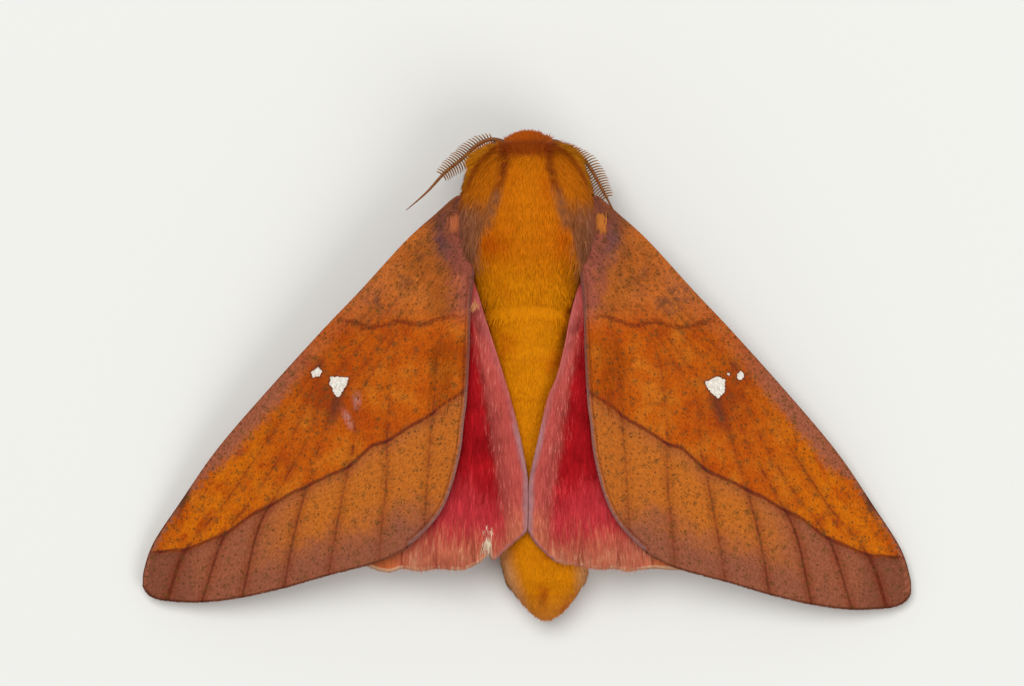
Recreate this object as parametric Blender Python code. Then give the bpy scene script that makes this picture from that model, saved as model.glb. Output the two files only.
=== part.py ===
"""A large furry moth at rest, life size, with its wings held out over its back.

The head faces -Y, the back faces +Z and the moth's left side is +X. The moth stands on
the plane Z = 0 with its feet and the underside of its abdomen.
"""

import math

import bmesh
import bpy
import numpy as np
from mathutils import Vector
from mathutils.geometry import delaunay_2d_cdt

for leftover in list(bpy.data.objects):
    bpy.data.objects.remove(leftover)

# Every length below is in millimetres, and MM turns it into metres when a mesh is made.
MM = 0.001
GAP = 0.3  # left between two nodes that touch

# The trunk, as sections from front to back:
# place along Y, middle in X, half width, underside, top.
THORAX_SECTIONS = [
    (-17.60, 0.00, 0.10, 7.30, 7.40),
    (-17.42, 0.00, 1.95, 6.55, 8.20),
    (-17.05, 0.00, 3.00, 5.85, 8.65),
    (-16.45, 0.00, 3.90, 4.70, 9.20),
    (-15.60, 0.00, 4.55, 3.40, 9.70),
    (-14.40, 0.00, 5.00, 2.10, 10.20),
    (-12.70, 0.00, 5.25, 1.45, 10.55),
    (-10.40, 0.00, 5.10, 1.20, 10.35),
    (-8.00, 0.00, 4.50, 1.25, 9.55),
    (-5.75, 0.00, 3.85, 1.30, 8.50),
]
ABDOMEN_SECTIONS = [
    (-5.45, 0.00, 3.75, 1.30, 8.40),
    (-3.00, 0.00, 3.55, 1.00, 7.85),
    (0.00, 0.00, 3.50, 0.60, 7.35),
    (4.00, -0.05, 3.50, 0.20, 6.90),
    (8.00, -0.35, 3.55, -0.08, 6.45),
    (11.00, -0.80, 3.55, -0.10, 6.10),
    (14.00, -1.30, 3.50, -0.05, 5.55),
    (15.30, -1.40, 3.10, 0.25, 5.05),
    (16.60, -1.45, 2.30, 0.75, 4.35),
    (17.80, -1.50, 1.25, 1.40, 3.45),
    (18.30, -1.45, 0.45, 2.00, 2.85),
    (18.40, -1.45, 0.08, 2.35, 2.50),
]
TRUNK_SQUARENESS = 2.25  # 2 gives ellipses
TRUNK_SIDES = 32
THORAX_RINGS = 17
ABDOMEN_RINGS = 27
SEGMENT_LENGTH = 3.3  # of the abdomen
SEGMENT_GROOVE = 0.025  # as a share of the section
# The swell of the scale flaps over the wing roots: its height as a share of the section,
# how far up the side it lies and how wide it is there, and its middle and reach along Y.
SHOULDER_SWELL = 0.05
SHOULDER_RISE, SHOULDER_BREADTH = 0.62, 0.3
SHOULDER_MIDDLE, SHOULDER_REACH = -12.2, 2.6

HEAD_CENTRE = (0.0, -16.75, 5.0)
HEAD_HALF = (2.15, 1.72, 2.5)
HEAD_RINGS, HEAD_SIDES = 14, 22
EYE_CENTRE = (1.95, -16.7, 4.5)
EYE_RADIUS = 1.08
EYE_RINGS, EYE_SIDES = 10, 16
PALP_PATH = [(0.6, -17.2, 3.6), (0.68, -17.8, 3.05), (0.6, -17.8, 2.2)]
PALP_RADII = [0.42, 0.42, 0.22]
PALP_STEPS = 4  # between two points of the path

# The forewing in plan, from the root along the front edge to the apex and back.
FOREWING_EDGE = [
    (3.6, -13.4), (5.2, -13.6), (7.0, -12.0), (9.1, -10.1), (12.5, -6.4), (15.1, -3.7),
    (19.5, 1.1), (23.3, 5.5), (26.1, 9.5), (28.1, 12.5), (28.9, 15.0), (28.8, 16.1),
    (27.5, 16.8), (24.8, 16.9), (21.7, 16.6), (18.2, 15.8), (15.1, 14.9), (11.4, 13.9),
    (9.4, 13.0), (8.0, 11.9), (6.7, 10.5), (5.9, 9.0), (5.3, 7.1), (4.9, 5.2),
    (4.5, 1.8), (4.3, -1.5), (4.2, -4.8), (3.9, -7.2), (3.4, -10.0),
]
FOREWING_VEINS = [
    [(5.4, -11.9), (8.6, -8.2), (12.6, -3.9), (16.0, -0.3), (20.6, 4.9), (25.2, 10.6), (28.1, 15.2)],
    [(5.2, -9.9), (7.6, -6.6), (10.2, -2.6), (12.0, 0.2), (13.0, 1.5)],
    [(16.0, -0.3), (18.6, 4.0), (22.6, 9.4), (25.7, 13.1), (27.0, 16.3)],
    [(15.5, 0.2), (17.4, 4.6), (20.6, 9.2), (22.8, 12.1), (24.2, 16.2)],
    [(15.0, 1.0), (16.4, 5.2), (18.8, 8.8), (20.2, 11.5), (21.2, 16.0)],
    [(14.3, 1.8), (15.2, 4.2), (16.6, 8.6), (17.5, 12.0), (18.1, 15.2)],
    [(13.0, 1.5), (12.9, 4.7), (13.6, 8.0), (14.3, 11.6), (14.8, 14.2)],
    [(10.6, -1.9), (10.3, 3.5), (10.5, 7.6), (10.9, 11.7), (11.1, 13.1)],
    [(4.9, -8.6), (6.3, -3.0), (7.1, 3.8), (7.4, 7.6), (7.5, 10.5)],
]
# How much further back the right forewing reaches, growing from its root.
RIGHT_REACH = 0.55
REACH_START, REACH_LENGTH = -12.0, 28.8

# The hindwing in plan: the hidden front edge and apex, then the rear edge of each side,
# then the inner edge that lies over the abdomen, back to the root.
HINDWING_FRONT = [
    (3.2, -8.3), (5.5, -7.6), (9.0, -4.6), (13.0, 0.4), (16.4, 5.0), (17.7, 7.6), (17.2, 9.6),
    (15.0, 12.2), (12.9, 13.7),
]
HINDWING_REAR = {
    "left": [(10.4, 14.6), (9.3, 14.3), (8.0, 14.5), (6.8, 14.3), (5.0, 14.4), (3.9, 14.0),
             (2.9, 13.2), (2.4, 13.7)],
    "right": [(11.5, 14.4), (9.4, 14.3), (7.6, 14.5), (6.6, 14.3), (4.8, 14.3), (4.1, 14.1),
              (2.9, 13.9), (2.1, 13.7)],
}
HINDWING_INNER = {
    "left": [(1.3, 12.6), (0.2, 11.6), (0.05, 10.0), (0.05, 7.9), (0.2, 6.6), (0.6, 4.1),
             (1.3, 1.4), (2.1, -1.2), (3.0, -3.5), (3.6, -5.0), (3.2, -6.6)],
    "right": [(1.2, 13.0), (0.7, 12.4), (0.3, 11.4), (0.3, 9.8), (0.33, 7.9), (0.5, 6.5),
              (0.9, 4.5), (1.6, 1.7), (2.3, 0.0), (3.0, -2.1), (3.8, -4.2), (3.2, -6.6)],
}
HINDWING_VEINS = [
    [(4.4, -4.4), (3.4, -1.4), (2.4, 3.2), (1.9, 7.5), (1.8, 11.8)],
    [(4.7, -4.6), (4.6, 0.0), (4.4, 5.0), (4.1, 10.0), (3.9, 13.2)],
    [(5.0, -4.8), (5.9, 0.0), (6.5, 5.0), (6.7, 10.0), (6.8, 13.7)],
    [(5.3, -5.2), (7.4, -0.8), (8.6, 4.2), (9.2, 9.0), (9.4, 13.7)],
    [(5.7, -5.6), (9.0, -1.2), (11.2, 3.6), (12.2, 8.5), (12.4, 12.9)],
    [(6.2, -6.3), (10.2, -2.2), (13.6, 3.0), (15.2, 8.0), (15.3, 11.0)],
]

# The wings lie like a low roof. The forewing's height falls outwards and to the rear.
ROOF_HEIGHT = 7.45  # at the inner edge of the forewing
ROOF_INNER_X = 4.3
ROOF_SLOPE = 0.196
ROOF_CURVE = 0.001
REAR_FALL = 0.004
FRONT_EDGE_LINE = ((7.0, -12.0), (26.1, 9.5))
FRONT_EDGE_DROOP, FRONT_EDGE_WIDTH = 0.45, 1.3
WING_THICKNESS = 0.55
WING_STEP = 1.2  # from the forewing down to the hindwing under it
DRAPE_START, DRAPE_FULL = -5.6, -3.6  # along Y, where the hindwing comes to lie over the abdomen
DRAPE_BLEND = 0.15
VEIN_HEIGHT, VEIN_HALF = 0.18, 0.42
EDGE_STEP, VEIN_STEP, FILL_STEP = 1.25, 2.1, 2.6
FILL_CLEAR = 0.75  # from the fill points to the veins and the rim
SLOPE_STEP = 0.05
CLOSENESS = 1e-3  # points nearer than this in plan become one

# The antennae: routes from the head out to the bare tip, and the comb between two shares.
ANTENNA_ROUTES = {
    "left": [(1.3, -17.2, 5.9), (2.1, -17.7, 5.75), (2.95, -17.75, 5.65), (3.85, -17.3, 5.5),
             (4.9, -16.35, 5.35), (6.2, -15.2, 5.15), (7.5, -13.8, 4.9), (9.1, -12.4, 4.7)],
    "right": [(-1.3, -17.2, 5.9), (-2.1, -17.7, 5.75), (-3.1, -17.45, 5.6), (-4.0, -16.8, 5.4),
              (-4.8, -16.0, 5.2), (-5.45, -14.8, 5.0), (-6.0, -13.55, 4.85), (-6.9, -11.6, 4.7)],
}
ANTENNA_STEP = 0.45
ANTENNA_RADII = [0.28, 0.26, 0.25, 0.24, 0.22, 0.17, 0.09]
COMB_FROM, COMB_TO = 0.19, {"left": 0.62, "right": 0.76}
TOOTH_SPACING = 0.52
TOOTH_LENGTH = 0.95
TOOTH_RADIUS = 0.14
TOOTH_SWEEP = math.radians(28)  # towards the antenna's tip
TOOTH_BOW = 0.06  # as a share of the length
COMB_ENDS = 0.55  # length of the first and last teeth, as a share of the longest
COMB_DIP = 0.12  # how far the teeth hang below the shaft, as a share of their length
TUBE_SIDES = 8
SPIKE_TAPER = (1.0, 0.75, 0.35)

# The legs, on the left side: hip, knee, ankle and toe.
LEG_JOINTS = {
    "front": [(2.0, -14.4, 2.7), (3.9, -15.5, 2.0), (3.3, -16.5, 0.65), (2.3, -17.2, 0.0)],
    "middle": [(2.6, -11.0, 2.6), (7.0, -10.4, 3.5), (9.1, -7.8, 0.7), (10.8, -4.9, 0.0)],
    "hind": [(2.6, -8.0, 2.6), (6.4, -5.2, 3.3), (7.7, 0.0, 0.7), (8.7, 4.2, 0.0)],
}
# Shares of the way along each length of a leg, with the radius there.
THIGH_SHAPE = ((0.0, 0.65), (0.3, 0.72), (0.65, 0.685), (0.92, 0.42))
KNEE_RADIUS, KNEE_LIFT = 0.42, 0.08
SHIN_SHAPE = ((0.1, 0.42), (0.4, 0.60), (0.75, 0.54), (1.0, 0.34))
FOOT_SHAPE = ((0.35, 0.34), (0.9, 0.272))  # of each of its short segments
FOOT_SEGMENTS = 4
FOOT_TAPER = 0.15  # over the foot's length
FOOT_PRESS = 0.85  # the middle of the foot lies this share of its radius above the ground
CLAW_LENGTH, CLAW_RADIUS = 0.42, 0.13
CLAW_SPREAD, CLAW_BOW = 0.55, 0.08
CLAW_ROOT = 0.2  # behind the end of the foot
CLAW_TIP_HEIGHT = 0.08
SPUR_LENGTH, SPUR_RADIUS = 0.9, 0.16
SPUR_AHEAD, SPUR_SPREAD = 0.8, 0.7

COLOURS = {
    "fur_orange": ((0.62, 0.17, 0.01), 0.9),
    "fur_red": ((0.45, 0.08, 0.01), 0.9),
    "wing_orange": ((0.42, 0.09, 0.015), 0.85),
    "wing_red": ((0.40, 0.02, 0.02), 0.85),
    "eye_dark": ((0.02, 0.01, 0.008), 0.25),
    "horn_brown": ((0.22, 0.08, 0.02), 0.6),
    "leg_brown": ((0.30, 0.09, 0.03), 0.8),
}


def smoothstep(low, high, value):
    share = min(max((value - low) / (high - low), 0.0), 1.0)
    return share * share * (3 - 2 * share)


def soft_max(a, b, blend):
    return max(a, b) + blend * math.log1p(math.exp(-abs(a - b) / blend))


def spline(points, steps, closed=False):
    """Points along a smooth curve through the given ones, steps of them for each stretch."""
    points = np.array(points, float)
    count = len(points)
    if closed:
        before, after = np.roll(points, 1, axis=0), np.roll(points, -1, axis=0)
        further = np.roll(points, -2, axis=0)
    else:
        before = np.vstack([2 * points[0] - points[1], points[:-1]])
        after = np.vstack([points[1:], 2 * points[-1] - points[-2]])
        further = np.vstack([after[1:], 2 * after[-1] - after[-2]])
    found = []
    for i in range(count if closed else count - 1):
        for step in range(steps):
            t = step / steps
            found.append(0.5 * (
                2 * points[i]
                + (after[i] - before[i]) * t
                + (2 * before[i] - 5 * points[i] + 4 * after[i] - further[i]) * t**2
                + (3 * points[i] - before[i] - 3 * after[i] + further[i]) * t**3
            ))
    if not closed:
        found.append(points[-1])
    return np.array(found)


def evenly(points, spacing, closed=False):
    """The smooth curve through the points, read at even steps of about this spacing."""
    dense = spline(points, 24, closed)
    if closed:
        dense = np.vstack([dense, dense[:1]])
    run = np.concatenate([[0], np.cumsum(np.linalg.norm(np.diff(dense, axis=0), axis=1))])
    count = max(2, round(run[-1] / spacing)) + 1
    at = np.linspace(0, run[-1], count)
    even = np.stack([np.interp(at, run, column) for column in dense.T], axis=1)
    return even[:-1] if closed else even


def material(name):
    found = bpy.data.materials.get(name)
    if found:
        return found
    colour, roughness = COLOURS[name]
    made = bpy.data.materials.new(name)
    made.use_nodes = True
    shader = made.node_tree.nodes["Principled BSDF"]
    shader.inputs["Base Color"].default_value = (*colour, 1)
    shader.inputs["Roughness"].default_value = roughness
    made.diffuse_color = (*colour, 1)
    return made


def solid(name, points, faces, finish, smooth=True):
    """A closed mesh object from points in millimetres, with its faces turned outwards."""
    mesh = bpy.data.meshes.new(name)
    mesh.from_pydata([[value * MM for value in point] for point in points], [], faces)
    shape = bmesh.new()
    shape.from_mesh(mesh)
    bmesh.ops.recalc_face_normals(shape, faces=shape.faces)
    shape.to_mesh(mesh)
    shape.free()
    if smooth:
        mesh.shade_smooth()
        mesh.set_sharp_from_angle(angle=math.radians(50))
    mesh.materials.append(material(finish))
    made = bpy.data.objects.new(name, mesh)
    bpy.context.scene.collection.objects.link(made)
    return made


def rings_to_faces(ring_count, sides):
    """Faces of a closed skin over rings of points, with a fan over each end."""
    faces = []
    for ring in range(ring_count - 1):
        for side in range(sides):
            a, b = ring * sides + side, ring * sides + (side + 1) % sides
            faces.append((a, b, b + sides, a + sides))
    faces.append(tuple(range(sides))[::-1])
    faces.append(tuple(range((ring_count - 1) * sides, ring_count * sides)))
    return faces


def tube(route, radii, sides):
    """Points and faces of a round tube along a route."""
    route = np.array(route, float)
    across = np.cross(route[1] - route[0], (0.0, 0.0, 1.0))
    if np.linalg.norm(across) < 0.1 * np.linalg.norm(route[1] - route[0]):
        across = np.array([1.0, 0.0, 0.0])
    points = []
    for i, middle in enumerate(route):
        along = route[min(i + 1, len(route) - 1)] - route[max(i - 1, 0)]
        along /= np.linalg.norm(along)
        across = across - along * across.dot(along)
        across /= np.linalg.norm(across)
        up = np.cross(across, along)
        for side in range(sides):
            turn = 2 * math.pi * side / sides
            points.append(middle + radii[i] * (math.cos(turn) * across + math.sin(turn) * up))
    return points, rings_to_faces(len(route), sides)


def in_place(obj):
    """Makes the object's modifiers part of its mesh."""
    bpy.context.view_layer.update()
    graph = bpy.context.evaluated_depsgraph_get()
    made = bpy.data.meshes.new_from_object(obj.evaluated_get(graph))
    obj.modifiers.clear()
    obj.data = made


def keep_largest(obj):
    """Drops all but the largest closed surface of a mesh."""
    shape = bmesh.new()
    shape.from_mesh(obj.data)
    waiting, groups = set(shape.verts), []
    while waiting:
        reached = [waiting.pop()]
        for vertex in reached:
            for edge in vertex.link_edges:
                other = edge.other_vert(vertex)
                if other in waiting:
                    waiting.remove(other)
                    reached.append(other)
        groups.append(reached)
    groups.sort(key=size_of_group, reverse=True)
    dropped = [vertex for group in groups[1:] for vertex in group]
    bmesh.ops.delete(shape, geom=dropped, context="VERTS")
    shape.to_mesh(obj.data)
    shape.free()


def size_of_group(vertices):
    places = np.array([vertex.co for vertex in vertices])
    return float(np.linalg.norm(places.max(axis=0) - places.min(axis=0)))


def fuse(obj, pieces):
    """Joins the pieces to the object by one union."""
    group = bpy.data.collections.new(obj.name + "_pieces")
    bpy.context.scene.collection.children.link(group)
    for piece in pieces:
        bpy.context.scene.collection.objects.unlink(piece)
        group.objects.link(piece)
    union = obj.modifiers.new("union", "BOOLEAN")
    union.operation = "UNION"
    union.operand_type = "COLLECTION"
    union.collection = group
    in_place(obj)
    for piece in pieces:
        bpy.data.objects.remove(piece)
    bpy.data.collections.remove(group)
    keep_largest(obj)


def clear_of(obj, neighbour, gap=GAP):
    """Cuts the object back to a gap from its neighbour, so that the two meet face to face."""
    cutter = neighbour.copy()
    cutter.data = neighbour.data.copy()
    cutter.name = "cutter"
    cutter.hide_render = True
    cutter.display_type = "WIRE"
    bpy.context.scene.collection.objects.link(cutter)
    shape = bmesh.new()
    shape.from_mesh(cutter.data)
    shape.normal_update()
    for vertex in shape.verts:
        vertex.co += vertex.normal * gap * MM * vertex.calc_shell_factor()
    shape.to_mesh(cutter.data)
    shape.free()
    cut = obj.modifiers.new("cut", "BOOLEAN")
    cut.operation = "DIFFERENCE"
    cut.object = cutter
    in_place(obj)
    bpy.data.objects.remove(cutter)
    keep_largest(obj)


def trunk_table(sections):
    """The sections' smooth curve as a dense table, by place along Y."""
    return spline(sections, 16)


THORAX_TABLE = trunk_table(THORAX_SECTIONS)
ABDOMEN_TABLE = trunk_table(ABDOMEN_SECTIONS)


def section_at(table, y):
    """Middle in X, half width, middle in Z and half height of the trunk at this place."""
    middle, half, low, high = (np.interp(y, table[:, 0], table[:, i]) for i in range(1, 5))
    return middle, half, (low + high) / 2, (high - low) / 2


def segment_waist(y):
    """How far the abdomen's section draws in at the joints of its segments."""
    wave = math.cos(2 * math.pi * (y - ABDOMEN_SECTIONS[0][0]) / SEGMENT_LENGTH)
    return 1 - SEGMENT_GROOVE * max(wave, 0.0) ** 3


def shoulder_swell(y, turn):
    """The bulge of the scale flaps on both shoulders, high on the sides of the thorax."""
    if math.sin(turn) <= 0:
        return 1.0
    high = math.exp(-(((math.sin(turn) - SHOULDER_RISE) / SHOULDER_BREADTH) ** 2))
    near = math.exp(-(((y - SHOULDER_MIDDLE) / SHOULDER_REACH) ** 2))
    return 1 + SHOULDER_SWELL * high * near


def trunk_part(name, table, ring_count, finish, swell):
    """A length of the trunk, with rings closer together towards rounded ends."""
    points = []
    at = np.linspace(0, len(table) - 1, ring_count)
    for y in np.interp(at, np.arange(len(table)), table[:, 0]):
        middle_x, half_width, middle_z, half_height = section_at(table, y)
        for side in range(TRUNK_SIDES):
            turn = 2 * math.pi * (side + 0.5) / TRUNK_SIDES
            grow = swell(y, turn)
            out = math.copysign(abs(math.cos(turn)) ** (2 / TRUNK_SQUARENESS), math.cos(turn))
            up = math.copysign(abs(math.sin(turn)) ** (2 / TRUNK_SQUARENESS), math.sin(turn))
            z = max(middle_z + half_height * up * grow, 0.0)
            points.append((middle_x + half_width * out * grow, y, z))
    return solid(name, points, rings_to_faces(ring_count, TRUNK_SIDES), finish)


def abdomen_swell(y, turn):
    return segment_waist(y)


def body_top(x, y, grow):
    """The height of the abdomen's back, grown outwards, above this place, or nothing."""
    middle_x, half_width, middle_z, half_height = section_at(ABDOMEN_TABLE, y)
    out = abs(x - middle_x) / (half_width + grow)
    if out >= 1:
        return 0.0
    rise = (1 - out**TRUNK_SQUARENESS) ** (1 / TRUNK_SQUARENESS)
    return middle_z + (half_height + grow) * rise


def forewing_height(x, y):
    out = abs(x) - ROOF_INNER_X
    (x0, y0), (x1, y1) = FRONT_EDGE_LINE
    inside = ((y - y0) * (x1 - x0) - (abs(x) - x0) * (y1 - y0)) / math.hypot(x1 - x0, y1 - y0)
    droop = FRONT_EDGE_DROOP * math.exp(-((max(inside, 0.0) / FRONT_EDGE_WIDTH) ** 2))
    fall = REAR_FALL * max(y, 0.0) ** 2
    return ROOF_HEIGHT - ROOF_SLOPE * out - ROOF_CURVE * out**2 - fall - droop


def hindwing_height(x, y):
    under = forewing_height(x, y) - WING_STEP
    over = body_top(x, y, GAP + WING_THICKNESS / 2)
    lie = smoothstep(DRAPE_START, DRAPE_FULL, y)
    return soft_max(under, under + (over - under) * lie, DRAPE_BLEND)


def inside(point, loop):
    """Whether a point in plan lies inside a closed outline."""
    x, y = point
    xs, ys = loop[:, 0], loop[:, 1]
    next_xs, next_ys = np.roll(xs, -1), np.roll(ys, -1)
    spans = (ys > y) != (next_ys > y)
    cross = xs + (y - ys) * (next_xs - xs) / np.where(spans, next_ys - ys, 1.0)
    return np.count_nonzero(spans & (x < cross)) % 2 == 1


def distance_to(point, line):
    """From a point to a line of straight stretches, in plan."""
    start, run = line[:-1], np.diff(line, axis=0)
    share = np.clip(((point - start) * run).sum(axis=1) / (run * run).sum(axis=1), 0, 1)
    return float(np.linalg.norm(point - start - run * share[:, None], axis=1).min())


def beside(line, offset):
    """A line moved sideways in plan."""
    along = np.gradient(line, axis=0)
    along /= np.linalg.norm(along, axis=1)[:, None]
    return line + offset * np.stack([-along[:, 1], along[:, 0]], axis=1)


def wing(name, edge, vein_lines, height, finish):
    """A curved sheet with raised veins, its upper and lower faces split alike."""
    rim = evenly(edge, EDGE_STEP, closed=True)
    veins = [evenly(line, VEIN_STEP) for line in vein_lines]
    points, joins = [tuple(p) for p in rim], [(i, (i + 1) % len(rim)) for i in range(len(rim))]
    for vein in veins:
        for line in (vein, beside(vein, VEIN_HALF), beside(vein, -VEIN_HALF)):
            joins += [(len(points) + i, len(points) + i + 1) for i in range(len(line) - 1)]
            points += [tuple(p) for p in line]
    fixed = [np.vstack([rim, rim[:1]])] + veins
    low, high = rim.min(axis=0), rim.max(axis=0)
    for x in np.arange(low[0], high[0], FILL_STEP):
        for y in np.arange(low[1], high[1], FILL_STEP):
            spot = np.array([x, y])
            if inside(spot, rim) and min(distance_to(spot, line) for line in fixed) > FILL_CLEAR:
                points.append((x, y))
    plan = delaunay_2d_cdt([Vector(p) for p in points], joins, [], 0, CLOSENESS)
    places = [np.array(p) for p in plan[0]]
    kept = [face for face in plan[2] if inside(sum(places[i] for i in face) / 3, rim)]
    used = sorted({i for face in kept for i in face})
    index = {old: new for new, old in enumerate(used)}
    kept = [tuple(index[i] for i in face) for face in kept]
    upper, lower = [], []
    for i in used:
        x, y = places[i]
        slope_x = (height(x + SLOPE_STEP, y) - height(x - SLOPE_STEP, y)) / (2 * SLOPE_STEP)
        slope_y = (height(x, y + SLOPE_STEP) - height(x, y - SLOPE_STEP)) / (2 * SLOPE_STEP)
        normal = np.array([-slope_x, -slope_y, 1.0])
        normal /= np.linalg.norm(normal)
        middle = np.array([x, y, height(x, y)])
        near = min(distance_to(places[i], vein) for vein in veins)
        ridge = VEIN_HEIGHT * max(0.0, 1 - near / VEIN_HALF)
        upper.append(middle + normal * (WING_THICKNESS / 2 + ridge))
        lower.append(middle - normal * WING_THICKNESS / 2)
    count = len(used)
    faces = [*kept, *(tuple(i + count for i in face)[::-1] for face in kept)]
    edges = {(a, b) for face in kept for a, b in zip(face, face[1:] + face[:1])}
    for a, b in sorted(edges):
        if (b, a) not in edges:
            faces += [(b, a, a + count), (b, a + count, b + count)]
    return solid(name, upper + lower, faces, finish, smooth=False)


def mirrored(line):
    return [(-x, *rest) for x, *rest in line]


def right_forewing(line):
    """The left forewing's plan turned into the right one's, which reaches further back."""
    return [
        (-x, y + RIGHT_REACH * max((y - REACH_START) / REACH_LENGTH, 0.0) ** 2) for x, y in line
    ]


def forewing(side):
    turned = right_forewing if side == "right" else list
    edge = turned(FOREWING_EDGE)
    veins = [turned(line) for line in FOREWING_VEINS]
    return wing("forewing_" + side, edge, veins, forewing_height, "wing_orange")


def hindwing(side):
    edge = HINDWING_FRONT + HINDWING_REAR[side] + HINDWING_INNER[side]
    veins = HINDWING_VEINS
    if side == "right":
        edge, veins = mirrored(edge), [mirrored(line) for line in veins]
    return wing("hindwing_" + side, edge, veins, hindwing_height, "wing_red")


def ball(name, centre, half, finish, rings, sides):
    """An ellipsoid, with its poles at the two sides."""
    points = []
    for ring in range(1, rings):
        lean = math.pi * ring / rings
        for side in range(sides):
            turn = 2 * math.pi * side / sides
            points.append((
                centre[0] + half[0] * math.cos(lean),
                centre[1] + half[1] * math.sin(lean) * math.cos(turn),
                centre[2] + half[2] * math.sin(lean) * math.sin(turn),
            ))
    faces = rings_to_faces(rings - 1, sides)[:-2]
    last = (rings - 2) * sides
    points += [(centre[0] + half[0], *centre[1:]), (centre[0] - half[0], *centre[1:])]
    for side in range(sides):
        beyond = (side + 1) % sides
        faces.append((beyond, side, len(points) - 2))
        faces.append((last + side, last + beyond, len(points) - 1))
    return solid(name, points, faces, finish)


def spike(name, start, end, radius, finish, bend=(0.0, 0.0, 0.0), sides=4):
    """A small tapered form from start to end, bowed sideways at its middle."""
    start, end, bend = (np.array(p, float) for p in (start, end, bend))
    route = [start, (start + end) / 2 + bend, end]
    points, faces = tube(route, [radius * share for share in SPIKE_TAPER], sides)
    return solid(name, points, faces, finish)


def antenna(side):
    route = evenly(ANTENNA_ROUTES[side], ANTENNA_STEP)
    shares = np.linspace(0, 1, len(route))
    radii = np.interp(shares, np.linspace(0, 1, len(ANTENNA_RADII)), ANTENNA_RADII)
    points, faces = tube(route, radii, TUBE_SIDES)
    shaft = solid("antenna_" + side, points, faces, "horn_brown")
    comb = COMB_TO[side] - COMB_FROM
    count = round(comb * (len(route) - 1) * ANTENNA_STEP / TOOTH_SPACING)
    teeth = []
    for i in range(count):
        along_comb = (i + 0.5) / count
        share = COMB_FROM + comb * along_comb
        root = np.array([np.interp(share, shares, column) for column in route.T])
        ahead = np.array([np.interp(share + 0.01, shares, column) for column in route.T])
        along = (ahead - root) / np.linalg.norm(ahead - root)
        across = np.cross(along, (0.0, 0.0, 1.0))
        across /= np.linalg.norm(across)
        length = TOOTH_LENGTH * (COMB_ENDS + (1 - COMB_ENDS) * math.sin(math.pi * along_comb))
        for hand in (-1, 1):
            reach = hand * across * math.cos(TOOTH_SWEEP) + along * math.sin(TOOTH_SWEEP)
            tip = root + length * (reach - np.array([0.0, 0.0, COMB_DIP]))
            bow = along * TOOTH_BOW * length
            teeth.append(spike("tooth", root, tip, TOOTH_RADIUS, "horn_brown", bow))
    fuse(shaft, teeth)
    return shaft


def leg_form(joints):
    """Route and radii of a leg: thigh, shin and a foot of short segments."""
    hip, knee, ankle, toe = (np.array(p, float) for p in joints)
    route = [hip + (knee - hip) * share for share, radius in THIGH_SHAPE]
    route.append(knee + (0.0, 0.0, KNEE_LIFT))
    route += [knee + (ankle - knee) * share for share, radius in SHIN_SHAPE]
    radii = [radius for share, radius in (*THIGH_SHAPE, (0, KNEE_RADIUS), *SHIN_SHAPE)]
    for segment in range(FOOT_SEGMENTS):
        for share, radius in FOOT_SHAPE:
            radii.append(radius * (1 - FOOT_TAPER * segment / FOOT_SEGMENTS))
            x, y, z = ankle + (toe - ankle) * (segment + share) / FOOT_SEGMENTS
            route.append(np.array([x, y, FOOT_PRESS * radii[-1]]))
    return route, radii


def claw(toe, ahead, across):
    tip = toe + CLAW_LENGTH * (ahead + CLAW_SPREAD * across)
    tip[2] = CLAW_TIP_HEIGHT
    start = toe - CLAW_ROOT * ahead
    return spike("claw", start, tip, CLAW_RADIUS, "leg_brown", (0.0, 0.0, CLAW_BOW))


def spur(shin, across):
    """A spur beside the ankle, where the shin ends."""
    start, ankle = shin
    ahead = (ankle - start) / np.linalg.norm(ankle - start)
    root = start + SPUR_AHEAD * ahead
    tip = root + SPUR_LENGTH * (SPUR_AHEAD * ahead + SPUR_SPREAD * across)
    tip[2] = max(tip[2], SPUR_RADIUS)
    return spike("spur", root, tip, SPUR_RADIUS, "leg_brown")


def leg(pair, side):
    joints = LEG_JOINTS[pair]
    if side == "right":
        joints = mirrored(joints)
    route, radii = leg_form(joints)
    points, faces = tube(route, radii, TUBE_SIDES)
    points = [(x, y, max(z, 0.0)) for x, y, z in points]
    made = solid(f"leg_{pair}_{side}", points, faces, "leg_brown")
    toe, ahead = route[-1], route[-1] - route[-3]
    ahead = ahead / np.linalg.norm(ahead)
    across = np.cross(ahead, (0.0, 0.0, 1.0))
    ankle = len(THIGH_SHAPE) + len(SHIN_SHAPE)
    small = [claw(toe, ahead, hand * across) for hand in (-1, 1)]
    if pair != "front":
        small += [spur(route[ankle - 1:ankle + 1], hand * across) for hand in (-1, 1)]
    fuse(made, small)
    stand(made)
    return made


def stand(obj):
    """Lifts whatever lies below the ground up to it."""
    for vertex in obj.data.vertices:
        vertex.co.z = max(vertex.co.z, 0.0)


def both_sides(point):
    return {"left": point, "right": (-point[0], *point[1:])}


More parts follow.
